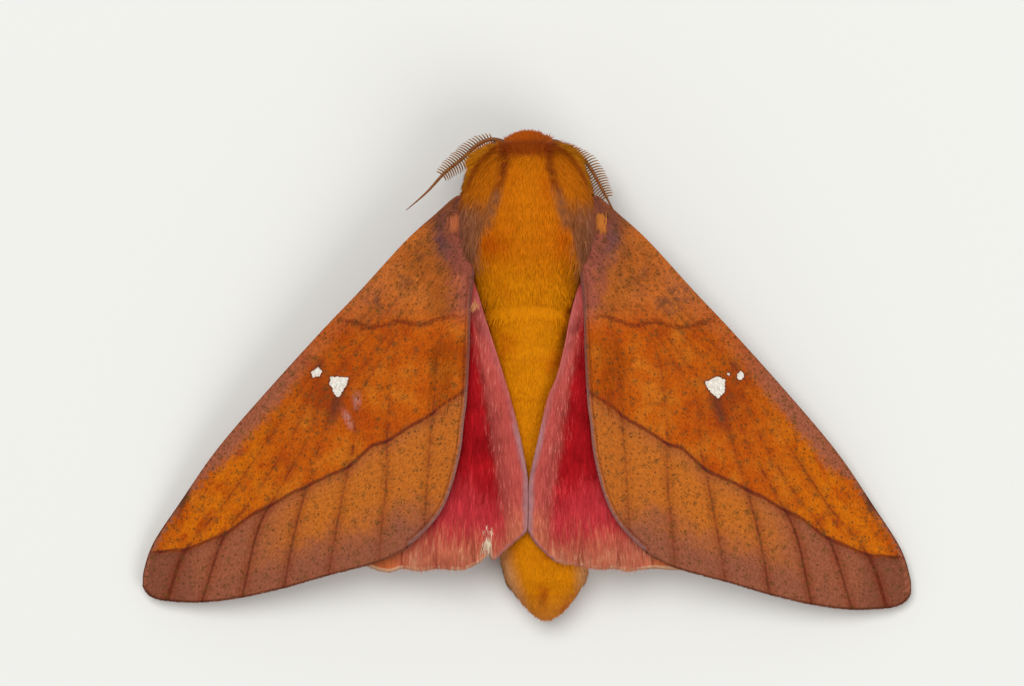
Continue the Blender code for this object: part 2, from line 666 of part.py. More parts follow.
def build():
    head = ball("head", HEAD_CENTRE, HEAD_HALF, "fur_red", HEAD_RINGS, HEAD_SIDES)
    thorax = trunk_part("thorax", THORAX_TABLE, THORAX_RINGS, "fur_orange", shoulder_swell)
    abdomen = trunk_part("abdomen", ABDOMEN_TABLE, ABDOMEN_RINGS, "fur_orange", abdomen_swell)
    whole_thorax = thorax.copy()
    whole_thorax.data = thorax.data.copy()
    clear_of(thorax, head)
    whole_head = head.copy()
    whole_head.data = head.data.copy()
    made = [head, thorax, abdomen]
    for side, centre in both_sides(EYE_CENTRE).items():
        eye = ball("eye_" + side, centre, (EYE_RADIUS,) * 3, "eye_dark", EYE_RINGS, EYE_SIDES)
        clear_of(head, eye)
        clear_of(thorax, eye)
        made.append(eye)
    for side in ("left", "right"):
        for pair in LEG_JOINTS:
            limb = leg(pair, side)
            clear_of(limb, whole_thorax)
            made.append(limb)
        for flap in (forewing(side), hindwing(side)):
            clear_of(flap, whole_thorax)
            clear_of(flap, abdomen, GAP * 0.9)
            made.append(flap)
        feeler = antenna(side)
        clear_of(feeler, whole_thorax)
        clear_of(feeler, whole_head)
        made.append(feeler)
        palp_path = PALP_PATH if side == "left" else mirrored(PALP_PATH)
        route = spline(palp_path, PALP_STEPS)
        radii = np.interp(np.linspace(0, 1, len(route)), np.linspace(0, 1, len(PALP_RADII)), PALP_RADII)
        points, faces = tube(route, radii, TUBE_SIDES)
        palp = solid("palp_" + side, points, faces, "fur_red")
        clear_of(palp, whole_head)
        made.append(palp)
    bpy.data.objects.remove(whole_thorax)
    bpy.data.objects.remove(whole_head)
    moth = bpy.data.objects.new("moth", None)
    bpy.context.scene.collection.objects.link(moth)
    for piece in made:
        piece.parent = moth


build()
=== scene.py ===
import math

import bpy
import numpy as np
from mathutils.bvhtree import BVHTree
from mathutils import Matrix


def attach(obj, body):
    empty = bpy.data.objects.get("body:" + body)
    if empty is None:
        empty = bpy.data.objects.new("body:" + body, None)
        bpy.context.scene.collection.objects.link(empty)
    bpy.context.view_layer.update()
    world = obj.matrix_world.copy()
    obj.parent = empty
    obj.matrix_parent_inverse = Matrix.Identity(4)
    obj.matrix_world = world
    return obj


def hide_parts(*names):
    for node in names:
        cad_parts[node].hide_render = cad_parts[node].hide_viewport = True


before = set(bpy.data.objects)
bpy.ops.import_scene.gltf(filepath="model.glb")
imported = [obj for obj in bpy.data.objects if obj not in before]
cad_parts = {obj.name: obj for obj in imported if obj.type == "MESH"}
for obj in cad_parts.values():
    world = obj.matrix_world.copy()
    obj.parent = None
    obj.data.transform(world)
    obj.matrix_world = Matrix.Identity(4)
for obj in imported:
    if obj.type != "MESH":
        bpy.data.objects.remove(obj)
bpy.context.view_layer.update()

mm = 0.001
print("frame loaded", len(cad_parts), "nodes")

# The moth is seen from straight above, with its head at the top of the picture.
# A pixel of the 1024 x 686 picture is 0.075 mm wide at the level of the wings.
photo = {
    "pixelSize": 0.075 * mm,
    "width": 1024,
    "middle": (1.125 * mm, -2.5 * mm),
    "wingLevel": 4.0 * mm,
    "distance": 0.6,
    "sensor": 36.0,
    "clip": (0.05, 5.0),
}


def addCamera():
    data = bpy.data.cameras.new("camera")
    data.sensor_width = photo["sensor"]
    data.lens = photo["sensor"] * photo["distance"] / (photo["pixelSize"] * photo["width"])
    data.clip_start, data.clip_end = photo["clip"]
    camera = bpy.data.objects.new("camera", data)
    camera.location = (*photo["middle"], photo["wingLevel"] + photo["distance"])
    camera.rotation_euler = (0, 0, math.pi)
    bpy.context.scene.collection.objects.link(camera)
    bpy.context.scene.camera = camera


addCamera()


# Colours are given as they show in the picture, from 0 to 255.
def tint(red, green, blue):
    shares = np.array([red, green, blue]) / 255
    linear = np.where(shares <= 0.04045, shares / 12.92, ((shares + 0.055) / 1.055) ** 2.4)
    return (*map(float, linear), 1.0)


class Socket:
    # One output of a material's nodes. Plain maths on it adds the Math nodes.
    def __init__(self, paint, output):
        self.paint = paint
        self.output = output

    def __add__(self, other):
        return self.paint.maths("ADD", self, other)

    def __radd__(self, other):
        return self.paint.maths("ADD", other, self)

    def __sub__(self, other):
        return self.paint.maths("SUBTRACT", self, other)

    def __rsub__(self, other):
        return self.paint.maths("SUBTRACT", other, self)

    def __mul__(self, other):
        return self.paint.maths("MULTIPLY", self, other)

    def __rmul__(self, other):
        return self.paint.maths("MULTIPLY", other, self)

    def __truediv__(self, other):
        return self.paint.maths("DIVIDE", self, other)

    def __neg__(self):
        return self.paint.maths("MULTIPLY", self, -1.0)

    def __abs__(self):
        return self.paint.maths("ABSOLUTE", self)

    def __pow__(self, other):
        return self.paint.maths("POWER", self, other)


class Paint:
    # One material and the nodes that colour it.
    def __init__(self, name):
        self.material = bpy.data.materials.new(name)
        self.material.use_nodes = True
        self.tree = self.material.node_tree
        self.shader = self.tree.nodes["Principled BSDF"]
        self.colour = None

    def feed(self, place, value):
        if isinstance(value, Socket):
            self.tree.links.new(value.output, place)
        elif value is not None:
            place.default_value = value

    def node(self, kind, settings=None, output=0, **sockets):
        made = self.tree.nodes.new(kind)
        for name, value in (settings or {}).items():
            setattr(made, name, value)
        for name, value in sockets.items():
            place = int(name[1:]) if name[0] == "_" else name
            self.feed(made.inputs[place], value)
        return Socket(self, made.outputs[output])

    def maths(self, operation, *values):
        sockets = {f"_{i}": value for i, value in enumerate(values)}
        return self.node("ShaderNodeMath", {"operation": operation}, **sockets)

    def lower(self, one, other):
        return self.maths("MINIMUM", one, other)

    def higher(self, one, other):
        return self.maths("MAXIMUM", one, other)

    def ramp(self, value, start, end):
        # 0 up to the start and 1 from the end on, with a soft rise between
        settings = {"interpolation_type": "SMOOTHSTEP"}
        return self.node("ShaderNodeMapRange", settings, _0=value, _1=start, _2=end)

    def bump(self, value, middle, width):
        # 1 at the middle, falling to 0 at this far from it on either side
        return 1 - self.ramp(abs(value - middle), 0.0, width)

    def mix(self, share, one, other, blend="MIX"):
        settings = {"data_type": "RGBA", "blend_type": blend, "clamp_factor": True}
        return self.node("ShaderNodeMix", settings, output=2, _0=share, _6=one, _7=other)

    def cover(self, share, layer):
        # lays one more colour over those laid so far
        self.colour = self.mix(share, self.colour, layer)

    def attribute(self, name):
        return self.node("ShaderNodeAttribute", {"attribute_name": name}, output="Fac")

    def noise(self, vector, scale, detail=2.0, rough=0.5, output=0):
        return self.node("ShaderNodeTexNoise", output=output, Vector=vector, Scale=scale,
                         Detail=detail, Roughness=rough)

    def millimetres(self, stretch=(1.0, 1.0, 1.0)):
        # the place on the object in millimetres, squeezed or stretched for grain
        place = self.node("ShaderNodeTexCoord", output="Object")
        scale = tuple(1000.0 * value for value in stretch)
        return self.node("ShaderNodeVectorMath", {"operation": "MULTIPLY"}, _0=place, _1=scale)

    def brushes(self):
        # what is used most, for calls by bare names
        return self.ramp, self.bump, self.noise, self.mix, self.cover

    def split(self, vector):
        made = self.tree.nodes.new("ShaderNodeSeparateXYZ")
        self.feed(made.inputs[0], vector)
        return [Socket(self, output) for output in made.outputs]

    def finish(self, colour, height, strength, distance, roughness, specular=0.06):
        self.feed(self.shader.inputs["Base Color"], colour)
        self.feed(self.shader.inputs["Roughness"], roughness)
        self.shader.inputs["Specular IOR Level"].default_value = specular
        if height is not None:
            raised = self.node("ShaderNodeBump", Height=height, Strength=strength,
                               Distance=distance)
            self.feed(self.shader.inputs["Normal"], raised)
        return self.material


# Smooth lines, distances and noise, all in millimetres in plan.
def smoothLine(points, step):
    # an even line through the points, which bends smoothly at each
    samples = 16
    points = np.array(points, float)
    before = np.vstack([2 * points[0] - points[1], points[:-1]])
    after = np.vstack([points[1:], 2 * points[-1] - points[-2]])
    further = np.vstack([after[1:], 2 * after[-1] - after[-2]])
    found = []
    for i in range(len(points) - 1):
        for t in np.arange(samples) / samples:
            found.append(0.5 * (
                2 * points[i] + (after[i] - before[i]) * t
                + (2 * before[i] - 5 * points[i] + 4 * after[i] - further[i]) * t**2
                + (3 * points[i] - before[i] - 3 * after[i] + further[i]) * t**3
            ))
    found = np.array(found + [points[-1]])
    run = np.concatenate([[0], np.cumsum(np.linalg.norm(np.diff(found, axis=0), axis=1))])
    at = np.linspace(0, run[-1], max(2, round(run[-1] / step)) + 1)
    return np.stack([np.interp(at, run, column) for column in found.T], axis=1)


def pointAlong(line, shares):
    run = np.concatenate([[0], np.cumsum(np.linalg.norm(np.diff(line, axis=0), axis=1))])
    return np.stack([np.interp(shares * run[-1], run, column) for column in line.T], axis=1)


def sideDistance(places, line):
    # how far each place lies from a line, above 0 on the line's left
    best = np.full(len(places), 1e9)
    side = np.ones(len(places))
    for start, end in zip(line[:-1], line[1:]):
        run = end - start
        away = places - start
        share = np.clip(away @ run / (run @ run), 0, 1)
        gap = np.linalg.norm(away - share[:, None] * run, axis=1)
        closer = gap < best
        best = np.where(closer, gap, best)
        side = np.where(closer, np.sign(run[0] * away[:, 1] - run[1] * away[:, 0]), side)
    return best * np.where(side == 0, 1.0, side)


def lengthened(line, reach):
    # the line, drawn on straight past both its ends
    ahead, behind = line[-1] - line[-2], line[0] - line[1]
    ahead, behind = ahead / np.linalg.norm(ahead), behind / np.linalg.norm(behind)
    return np.vstack([line[0] + reach * behind, line, line[-1] + reach * ahead])


def veinField(places, veins):
    # counts the veins from the front edge to the inner edge, whole numbers on a vein,
    # and gives the distance between the two veins on either side
    reach, beyond = 3.0, 0.5
    away = np.array([sideDistance(places, lengthened(vein, reach)) for vein in veins])
    last = len(veins) - 1
    count = np.where(away[0] < 0, np.clip(away[0], -beyond, 0),
                     last + np.clip(away[-1], 0, beyond))
    width = np.full(len(places), 1.0)
    for i in range(last):
        between = (away[i] >= 0) & (away[i + 1] < 0)
        apart = np.maximum(away[i] - away[i + 1], 1e-3)
        count = np.where(between, i + away[i] / apart, count)
        width = np.where(between, apart, width)
    return count, width


def softNoise(places, size, seed):
    # smooth random values from -1 to 1 that change over about this size
    cells = 17
    table = np.random.default_rng(seed).uniform(-1, 1, (cells, cells, cells))
    at = places / size
    cell = np.floor(at).astype(int)
    share = at - cell
    share = share * share * (3 - 2 * share)
    found = np.zeros(len(places))
    for corner in np.ndindex(2, 2, 2):
        index = (cell + corner) % cells
        weight = np.prod(np.where(corner, share, 1 - share), axis=1)
        found += weight * table[index[:, 0], index[:, 1], index[:, 2]]
    return found


def smoothStep(low, high, value):
    share = np.clip((value - low) / (high - low), 0, 1)
    return share * share * (3 - 2 * share)


def window(value, low, lowEnd, highStart, high):
    # rises from 0 to 1 between the first two values and falls again between the last two
    return smoothStep(low, lowEnd, value) * (1 - smoothStep(highStart, high, value))


# Handling objects as by hand.
def selectOnly(*objects):
    bpy.ops.object.select_all(action="DESELECT")
    for thing in objects:
        thing.select_set(True)
    bpy.context.view_layer.objects.active = objects[0]


def applyModifier(thing, kind, **settings):
    selectOnly(thing)
    modifier = thing.modifiers.new(kind.lower(), kind)
    for name, value in settings.items():
        setattr(modifier, name, value)
    bpy.ops.object.modifier_apply(modifier=modifier.name)


def inEditMode(thing, *steps):
    selectOnly(thing)
    bpy.ops.object.mode_set(mode="EDIT")
    bpy.ops.mesh.select_all(action="SELECT")
    for step, settings in steps:
        step(**settings)
    bpy.ops.object.mode_set(mode="OBJECT")


def addPrimitive(add, name, **settings):
    bpy.ops.object.select_all(action="DESELECT")
    add(**settings)
    made = bpy.context.view_layer.objects.active
    made.name = name
    return made


def vectorsOf(mesh, what):
    found = np.empty(len(mesh.vertices) * 3, np.float32)
    mesh.vertices.foreach_get(what, found)
    return found.reshape(-1, 3).astype(float)


def placesOf(mesh):
    return vectorsOf(mesh, "co")


def normalsOf(mesh):
    return vectorsOf(mesh, "normal")


def putPlaces(mesh, places):
    mesh.vertices.foreach_set("co", places.astype(np.float32).ravel())
    mesh.update()


def putAttribute(mesh, name, values):
    # one value for each vertex, or the same for all
    made = mesh.attributes.get(name) or mesh.attributes.new(name, "FLOAT", "POINT")
    made.data.foreach_set("value", np.full(len(mesh.vertices), values, np.float32))


def settle(piece, slot, *nodes):
    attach(piece, "root")
    if nodes:
        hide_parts(*nodes)


def joinedCopy(name, nodes, grow):
    # the frame's solids of these nodes as one mesh, swollen by this much
    copies = []
    for node in nodes:
        copy = bpy.data.objects.new(name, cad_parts[node].data.copy())
        bpy.context.scene.collection.objects.link(copy)
        copies.append(copy)
    selectOnly(*copies)
    if len(copies) > 1:
        bpy.ops.object.join()
    made = bpy.context.view_layer.objects.active
    inEditMode(
        made,
        (bpy.ops.mesh.remove_doubles, {"threshold": 1e-6}),
        (bpy.ops.mesh.normals_make_consistent, {"inside": False}),
        (bpy.ops.transform.shrink_fatten, {"value": grow}),
    )
    return made


sides = ("left", "right")
signOf = {"left": 1, "right": -1}
up = np.array([[0.0, 0.0, 1.0]])
pairs = ("front", "middle", "hind")
trunkNodes = ["head", "thorax", "abdomen"]
legNodes = [f"leg_{pair}_{side}" for pair in pairs for side in sides]
palpNodes = [f"palp_{side}" for side in sides]


# The body: one skin under the coat, from the feet to the end of the abdomen.
body = {
    "join": 0.34 * mm,  # the trunk swells by this to close the seams, and shrinks back
    "legJoin": 0.03 * mm,
    "voxel": 0.16 * mm,
    "smoothing": 6,
    "headDepth": 0.3 * mm,  # of the coat over the skin
    "thoraxDepth": 0.46 * mm,
    "abdomenDepth": 0.3 * mm,
    "tipDepth": 0.14 * mm,
    "legDepth": 0.08 * mm,
    "depthAt": (-7, -4, 13.5, 15.5),  # from front to back, in millimetres
    "hip": 1.2 * mm,
    "limbEdge": 0.3 * mm,
}
eye = {"centre": (1.95, -16.7, 4.5), "radius": 1.08, "sunk": 0.84, "margin": 1.03}


def nearest(tree, places):
    # how far each place lies from a surface
    return np.array([tree.find_nearest(place)[3] for place in places])


def sinkEyes(places):
    # the skin passes under the eyes
    for sign in signOf.values():
        centre = np.array(eye["centre"]) * (sign, 1, 1) * mm
        away = places - centre
        far = np.linalg.norm(away, axis=1)
        bed = eye["radius"] * eye["sunk"] * mm
        near = far < eye["radius"] * eye["margin"] * mm
        places[near] = centre + away[near] * np.minimum(1, bed / far[near])[:, None]


def headShare(y, z):
    # 1 on the face, 0 on the collar above it and behind
    return smoothStep(-16.2, -17.0, y) * smoothStep(7.7, 6.7, z)


def makeSkin():
    trunk = joinedCopy("skin", trunkNodes, body["join"])
    limbs = joinedCopy("limbs", legNodes + palpNodes, body["legJoin"])
    eyes = joinedCopy("eyes", [f"eye_{side}" for side in sides], 0.0)
    graph = bpy.context.evaluated_depsgraph_get()
    limbTree, trunkTree = (BVHTree.FromObject(thing, graph) for thing in (limbs, trunk))
    selectOnly(trunk, limbs, eyes)
    bpy.ops.object.join()
    skin = bpy.context.view_layer.objects.active
    skin.name = "moth_skin"
    applyModifier(skin, "REMESH", mode="VOXEL", voxel_size=body["voxel"], use_smooth_shade=True)
    places = placesOf(skin.data)
    fromLimb = nearest(limbTree, places) - nearest(trunkTree, places)
    share = smoothStep(-body["hip"] / 3, body["hip"], fromLimb)
    limb = smoothStep(body["limbEdge"], 0.0, fromLimb)
    y, z = places[:, 1] / mm, places[:, 2] / mm
    trunkDepth = np.interp(y, body["depthAt"], [
        body["thoraxDepth"], body["abdomenDepth"], body["abdomenDepth"], body["tipDepth"],
    ])
    trunkDepth += headShare(y, z) * (body["headDepth"] - trunkDepth)
    limbDepth = body["legJoin"] + body["legDepth"]
    depth = limbDepth + share * (body["join"] + trunkDepth - limbDepth)
    places -= normalsOf(skin.data) * depth[:, None]
    places[:, 2] = np.maximum(places[:, 2], 0.0)
    putPlaces(skin.data, places)
    applyModifier(skin, "SMOOTH", factor=0.5, iterations=body["smoothing"])
    places = placesOf(skin.data)
    sinkEyes(places)
    putPlaces(skin.data, places)
    putAttribute(skin.data, "limb", limb)
    # painted shade on the skin between the tufts, as dark as a third of the way up a tuft
    putAttribute(skin.data, "along", 0.3)
    putAttribute(skin.data, "shade", 0.4)
    return skin


# The collar is an ellipse as seen from above, and the abdomen's middle line leaves x = 0
# by this share of the squared distance behind y = 0. Both are in millimetres.
collar = {"halfWidth": 5.25, "halfLength": 5.4, "middleY": -13.0}
abdomenBend = 0.0067


# The colours of the coat, read by the skin and by every tuft alike.
coatColours = {
    "back": tint(206, 110, 3),
    "backDeep": tint(194, 92, 2),
    "midline": tint(216, 124, 6),
    "flank": tint(198, 84, 2),
    "cap": tint(138, 52, 4),
    "capFront": tint(164, 72, 8),
    "rim": tint(214, 130, 10),
    # painted shadow: the dark line inside the collar's pale rim
    "rimShadow": tint(142, 58, 5),
    "flap": tint(194, 104, 6),
    "flapRear": tint(152, 88, 48),
    "stripe": tint(122, 50, 10),
    "stripeRear": tint(134, 84, 56),
    "side": tint(160, 88, 62),
    "abdomen": tint(218, 130, 2),
    "abdomenSide": tint(222, 160, 108),
    "joint": tint(184, 92, 4),
    "smudge": tint(156, 66, 6),
    "under": tint(186, 112, 58),
    "limb": tint(156, 84, 44),
    "foot": tint(98, 54, 34),
    "face": tint(186, 86, 12),
    "chin": tint(150, 76, 34),
    "longHair": tint(180, 122, 92),
}


def coatColour(paint):
    ramp, bump, noise, mix, cover = paint.brushes()
    place = paint.millimetres()
    x, y, z = paint.split(place)
    wobble = noise(place, 0.9, 2.0) - 0.5
    fine = noise(paint.millimetres((5.0, 0.9, 5.0)), 1.0, 2.0) - 0.5
    across = abs(x) + 0.3 * wobble + 0.35 * fine
    along = y + 0.7 * wobble + 0.5 * fine
    c = coatColours
    paint.colour = mix(ramp(along, -10.0, -6.0), c["back"], c["abdomen"])
    patch = noise(place, 0.45, 3.0)
    deep = ramp(patch, 0.46, 0.72) * ramp(across, 0.0, 2.4)
    cover(deep * 0.85, c["backDeep"])
    midline = bump(across, 0.0, 1.5) * (1 - ramp(along, -11.0, -9.0))
    cover(midline * 0.4, c["midline"])
    flank = bump(across, 2.7, 1.1) * bump(along, -10.0, 2.2)
    cover(flank * 0.5, c["flank"])
    # the shoulder flaps, greyer and pinker towards their rear
    stripeX = 1.65 + paint.higher(along + 15.9, 0.0) * 0.27
    front = 1 - ramp(along, -8.6, -6.4)
    flap = ramp(across - stripeX, 0.0, 0.5) * front
    flapTint = mix(ramp(along, -13.7, -11.4), c["flap"], c["flapRear"])
    cover(flap, flapTint)
    outer = ramp(across - 4.2, 0.0, 0.9) * ramp(along, -13.2, -11.4)
    cover(outer * (1 - ramp(along, -7.4, -5.2)), c["side"])
    stripe = bump(across, stripeX, 0.7) * ramp(along, -18.0, -16.8)
    stripe = stripe * (0.5 + 0.5 * ramp(noise(place, 1.6, 3.0, 0.6), 0.34, 0.6))
    stripe = stripe * (1 - ramp(along, -11.8, -10.2)) * ramp(z, 5.5, 7.0)
    stripeTint = mix(ramp(along, -14.4, -13.2), c["stripe"], c["stripeRear"])
    cover(stripe * 0.9, stripeTint)
    # the pale rim round the front of the collar, with a painted shadow line inside it
    rimX, rimY = x / collar["halfWidth"], (y - collar["middleY"]) / collar["halfLength"]
    reach = (rimX * rimX + rimY * rimY) ** 0.5 + 0.05 * fine
    forward = (1 - ramp(along, -14.8, -13.4)) * ramp(across, 1.3, 2.5)
    cover(bump(reach, 0.87, 0.06) * forward * 0.65, c["rimShadow"])
    cover(ramp(reach, 0.88, 0.94) * forward * 0.95, c["rim"])
    # the reddish cap of the head
    cap = ramp(-along, 16.0, 16.9) * (1 - ramp(across, 1.5, 2.9))
    cover(cap * 0.9, c["cap"])
    cover(cap * ramp(-along, 17.3, 18.2), c["capFront"])
    face = ramp(-along, 16.4, 17.0) * (1 - ramp(z + 0.5 * wobble, 6.2, 7.0))
    cover(face, mix(ramp(z, 2.6, 4.6), c["chin"], c["face"]))
    # the abdomen's sides, its joints and the brown mark before its end
    rear = ramp(along, -5.0, -2.0)
    middle = abs(x + abdomenBend * paint.higher(y, 0.0) ** 2.0) + 0.3 * wobble + 0.3 * fine
    edge = rear * (1 - ramp(z, 3.6, 5.4)) * ramp(middle, 1.6, 2.8)
    cover(edge * 0.8, c["abdomenSide"])
    joint = bump(paint.maths("FRACT", (y + 0.5 * fine + 5.6) / 2.95), 0.5, 0.12)
    cover(joint * rear * 0.2, c["joint"])
    mark = bump(x + 1.25 + wobble, 0.0, 0.6 + fine) * bump(y - 16.6, 0.0, 1.5)
    cover(mark * 0.65, c["smudge"])
    # the underside and the legs
    below = 1 - ramp(z + 0.8 * wobble, 2.4, 4.6)
    cover(below * (1 - 0.5 * rear), c["under"])
    limbTint = mix(ramp(z, 0.4, 2.2), c["foot"], c["limb"])
    cover(paint.attribute("limb"), limbTint)
    return paint.colour


def strandShade(paint, colour, dark, light):
    # painted shade and light: darker at the root of each tuft, deep in the coat, and lighter at
    # its tip; and a tone a little different from one tuft to the next
    shade, along = paint.attribute("shade"), paint.attribute("along")
    level = dark + (light - dark) * along + 0.2 * (shade - 0.5)
    grey = paint.node("ShaderNodeCombineColor", {"mode": "RGB"}, _0=level, _1=level, _2=level)
    return paint.mix(1.0, colour, grey, "MULTIPLY")


def coatPaint(name, pale=0.0):
    paint = Paint(name)
    colour = coatColour(paint)
    if pale:
        share = paint.attribute("along") * paint.attribute("shade") * pale
        colour = paint.mix(share, colour, coatColours["longHair"])
    colour = strandShade(paint, colour, 0.82, 1.06)
    grain = paint.noise(paint.millimetres((9.0, 2.0, 9.0)), 1.0, 3.0, 0.6)
    return paint.finish(colour, grain, 0.3, 0.05 * mm, 0.75)


# Strands: closed, tapered bodies along given paths, a point at each end and a ring at
# each station between. Tufts of the coat, fringes, claws and the antennae are made so.
def strandMesh(name, paths, half, ups, material, spots=None, shape=3, flat=1.0, soft=0.0,
               marks=None, seed=0):
    count, stations = paths.shape[:2]
    runs = np.gradient(paths, axis=1)
    runs /= np.maximum(np.linalg.norm(runs, axis=2), 1e-12)[..., None]
    side = np.cross(ups[:, None], runs)
    side /= np.maximum(np.linalg.norm(side, axis=2), 1e-12)[..., None]
    up = np.cross(runs, side)
    turn = 2 * math.pi * (np.arange(shape) + (0.25 if shape == 3 else 0)) / shape
    spread = (side[:, 1:-1, None] * np.cos(turn)[:, None]
              + up[:, 1:-1, None] * (flat * np.sin(turn))[:, None])
    rings = paths[:, 1:-1, None] + half[:, :, None, None] * spread
    points = np.concatenate([paths[:, :1], rings.reshape(count, -1, 3), paths[:, -1:]], axis=1)
    each = points.shape[1]
    faces = []
    for i in range(shape):
        j = (i + 1) % shape
        faces.append([0, 1 + j, 1 + i])
        for ring in range(stations - 3):
            a, b = 1 + shape * ring, 1 + shape * (ring + 1)
            faces += [[a + i, a + j, b + j], [a + i, b + j, b + i]]
        last = 1 + shape * (stations - 3)
        faces.append([last + i, last + j, each - 1])
    corners = (np.array(faces)[None] + each * np.arange(count)[:, None, None]).reshape(-1)
    mesh = bpy.data.meshes.new(name)
    mesh.vertices.add(count * each)
    mesh.loops.add(len(corners))
    mesh.polygons.add(len(corners) // 3)
    mesh.vertices.foreach_set("co", points.astype(np.float32).ravel())
    mesh.loops.foreach_set("vertex_index", corners.astype(np.int32))
    mesh.polygons.foreach_set("loop_start", np.arange(0, len(corners), 3, dtype=np.int32))
    mesh.update(calc_edges=True)
    mesh.shade_smooth()
    share = np.linspace(0, 1, stations)
    share = np.concatenate([[0], np.repeat(share[1:-1], shape), [1]])
    if spots is not None:
        # each tuft's patch on the coat's map lies where its root does
        patch = 0.003
        around = np.tile(np.arange(shape) / (shape - 1), stations - 2)
        over = np.concatenate([[0.5], around, [0.5]])
        local = np.stack([over - 0.5, share - 0.5], axis=1) * patch
        places = (spots[:, None] + local[None]).reshape(-1, 2)
        layer = mesh.uv_layers.new(name="OFBake")
        layer.uv.foreach_set("vector", places[corners].astype(np.float32).ravel())
    if soft:
        # a tuft takes part of its shading from the surface it lies on
        own = np.zeros_like(points)
        own[:, 1:-1] = spread.reshape(count, -1, 3)
        own[:, -1] = runs[:, -1]
        own[:, 0] = ups
        blend = own * (1 - soft) + ups[:, None] * soft
        blend /= np.maximum(np.linalg.norm(blend, axis=2), 1e-9)[..., None]
        mesh.normals_split_custom_set_from_vertices(blend.reshape(-1, 3))
    random = np.random.default_rng(seed + 1000)
    putAttribute(mesh, "shade", np.repeat(random.uniform(0, 1, count), each))
    putAttribute(mesh, "along", np.tile(share, count))
    for key, values in (marks or {}).items():
        putAttribute(mesh, key, np.repeat(np.broadcast_to(values, count), each))
    mesh.materials.append(material)
    made = bpy.data.objects.new(name, mesh)
    bpy.context.scene.collection.objects.link(made)
    return made


def growTufts(name, roots, normals, lie, length, width, rise, fall, spots, material, seed,
              rings=1, sink=0.08, marks=None, soft=0.55, swing=0.16):
    # tufts rooted in a surface and bent over along its lie, in millimetres
    random = np.random.default_rng(seed)
    count = len(roots)
    lie = lie - normals * (lie * normals).sum(axis=1)[:, None]
    lie /= np.maximum(np.linalg.norm(lie, axis=1), 1e-9)[:, None]
    side = np.cross(normals, lie)
    turn = random.normal(0, swing, count)[:, None]
    lie = lie * np.cos(turn) + side * np.sin(turn)
    side = np.cross(normals, lie)
    length = (length * random.uniform(0.7, 1.25, count))[:, None, None]
    width = (width * random.uniform(0.75, 1.25, count))[:, None]
    curl = random.normal(0, 0.07, count)[:, None, None]
    rise = rise * random.uniform(0.75, 1.25, count)[:, None, None]
    base = (roots - normals * sink)[:, None]
    share = np.array([0, 0.4, 1.0] if rings == 1 else [0, 0.25, 0.6, 1.0])[None, :, None]
    lift = rise * share - fall * share**2
    paths = base + length * (lie[:, None] * share + normals[:, None] * lift
                             + side[:, None] * curl * share**2)
    # nothing reaches the ground
    paths[..., 2] = np.maximum(paths[..., 2], 0.05)
    half = width / 2 * np.array([1.0] if rings == 1 else [1.0, 0.8])
    return strandMesh(name, paths * mm, half * mm, normals, material, spots, flat=0.6, soft=soft,
                      marks=marks, seed=seed)


def scatter(skin, count, seed, keep):
    # roots spread evenly by area over the skin's faces that are kept, in millimetres
    mesh = skin.data
    mesh.calc_loop_triangles()
    faces = np.empty(len(mesh.loop_triangles) * 3, np.int32)
    mesh.loop_triangles.foreach_get("vertices", faces)
    faces = faces.reshape(-1, 3)
    corners = placesOf(mesh)[faces] / mm
    cross = np.cross(corners[:, 1] - corners[:, 0], corners[:, 2] - corners[:, 0])
    area = np.linalg.norm(cross, axis=1)
    limb = np.empty(len(mesh.vertices), np.float32)
    mesh.attributes["limb"].data.foreach_get("value", limb)
    limb = limb[faces].mean(axis=1)
    weight = area * keep(corners.mean(axis=1), limb)
    random = np.random.default_rng(seed)
    chosen = random.choice(len(area), count, p=weight / weight.sum())
    a, b = random.uniform(0, 1, (2, count, 1))
    fold = (a + b) > 1
    a, b = np.where(fold, 1 - a, a), np.where(fold, 1 - b, b)
    picked, own = corners[chosen], normalsOf(mesh)[faces[chosen]]
    roots = picked[:, 0] + a * (picked[:, 1] - picked[:, 0]) + b * (picked[:, 2] - picked[:, 0])
    normals = own[:, 0] + a * (own[:, 1] - own[:, 0]) + b * (own[:, 2] - own[:, 0])
    normals /= np.linalg.norm(normals, axis=1)[:, None]
    return roots, normals, limb[chosen]


def inMargin(share):
    # a place on the coat's map, off its edges
    return 0.01 + 0.98 * share


def bodySpots(places):
    # the trunk unrolled: round its own middle line, and from front to back
    front, length, middleZ = -19, 38.5, 3.8
    x, y, z = places.T
    middleX = -abdomenBend * np.maximum(y, 0) ** 2
    turn = np.arctan2(x - middleX, z - middleZ) / (2 * math.pi) + 0.5
    return inMargin(np.stack([turn, (y - front) / length], axis=1))


def fromEyes(places):
    # the way and the distance from the surface of the nearer eye
    away = places - np.array(eye["centre"]) * np.stack(
        [np.where(places[:, 0] < 0, -1, 1), *np.ones((2, len(places)))], axis=1)
    far = np.linalg.norm(away, axis=1)
    return away / far[:, None], far - eye["radius"]


def collarReach(x, y):
    # 1 on the outline of the collar as seen from above, less inside it
    return np.hypot(x / collar["halfWidth"], (y - collar["middleY"]) / collar["halfLength"])


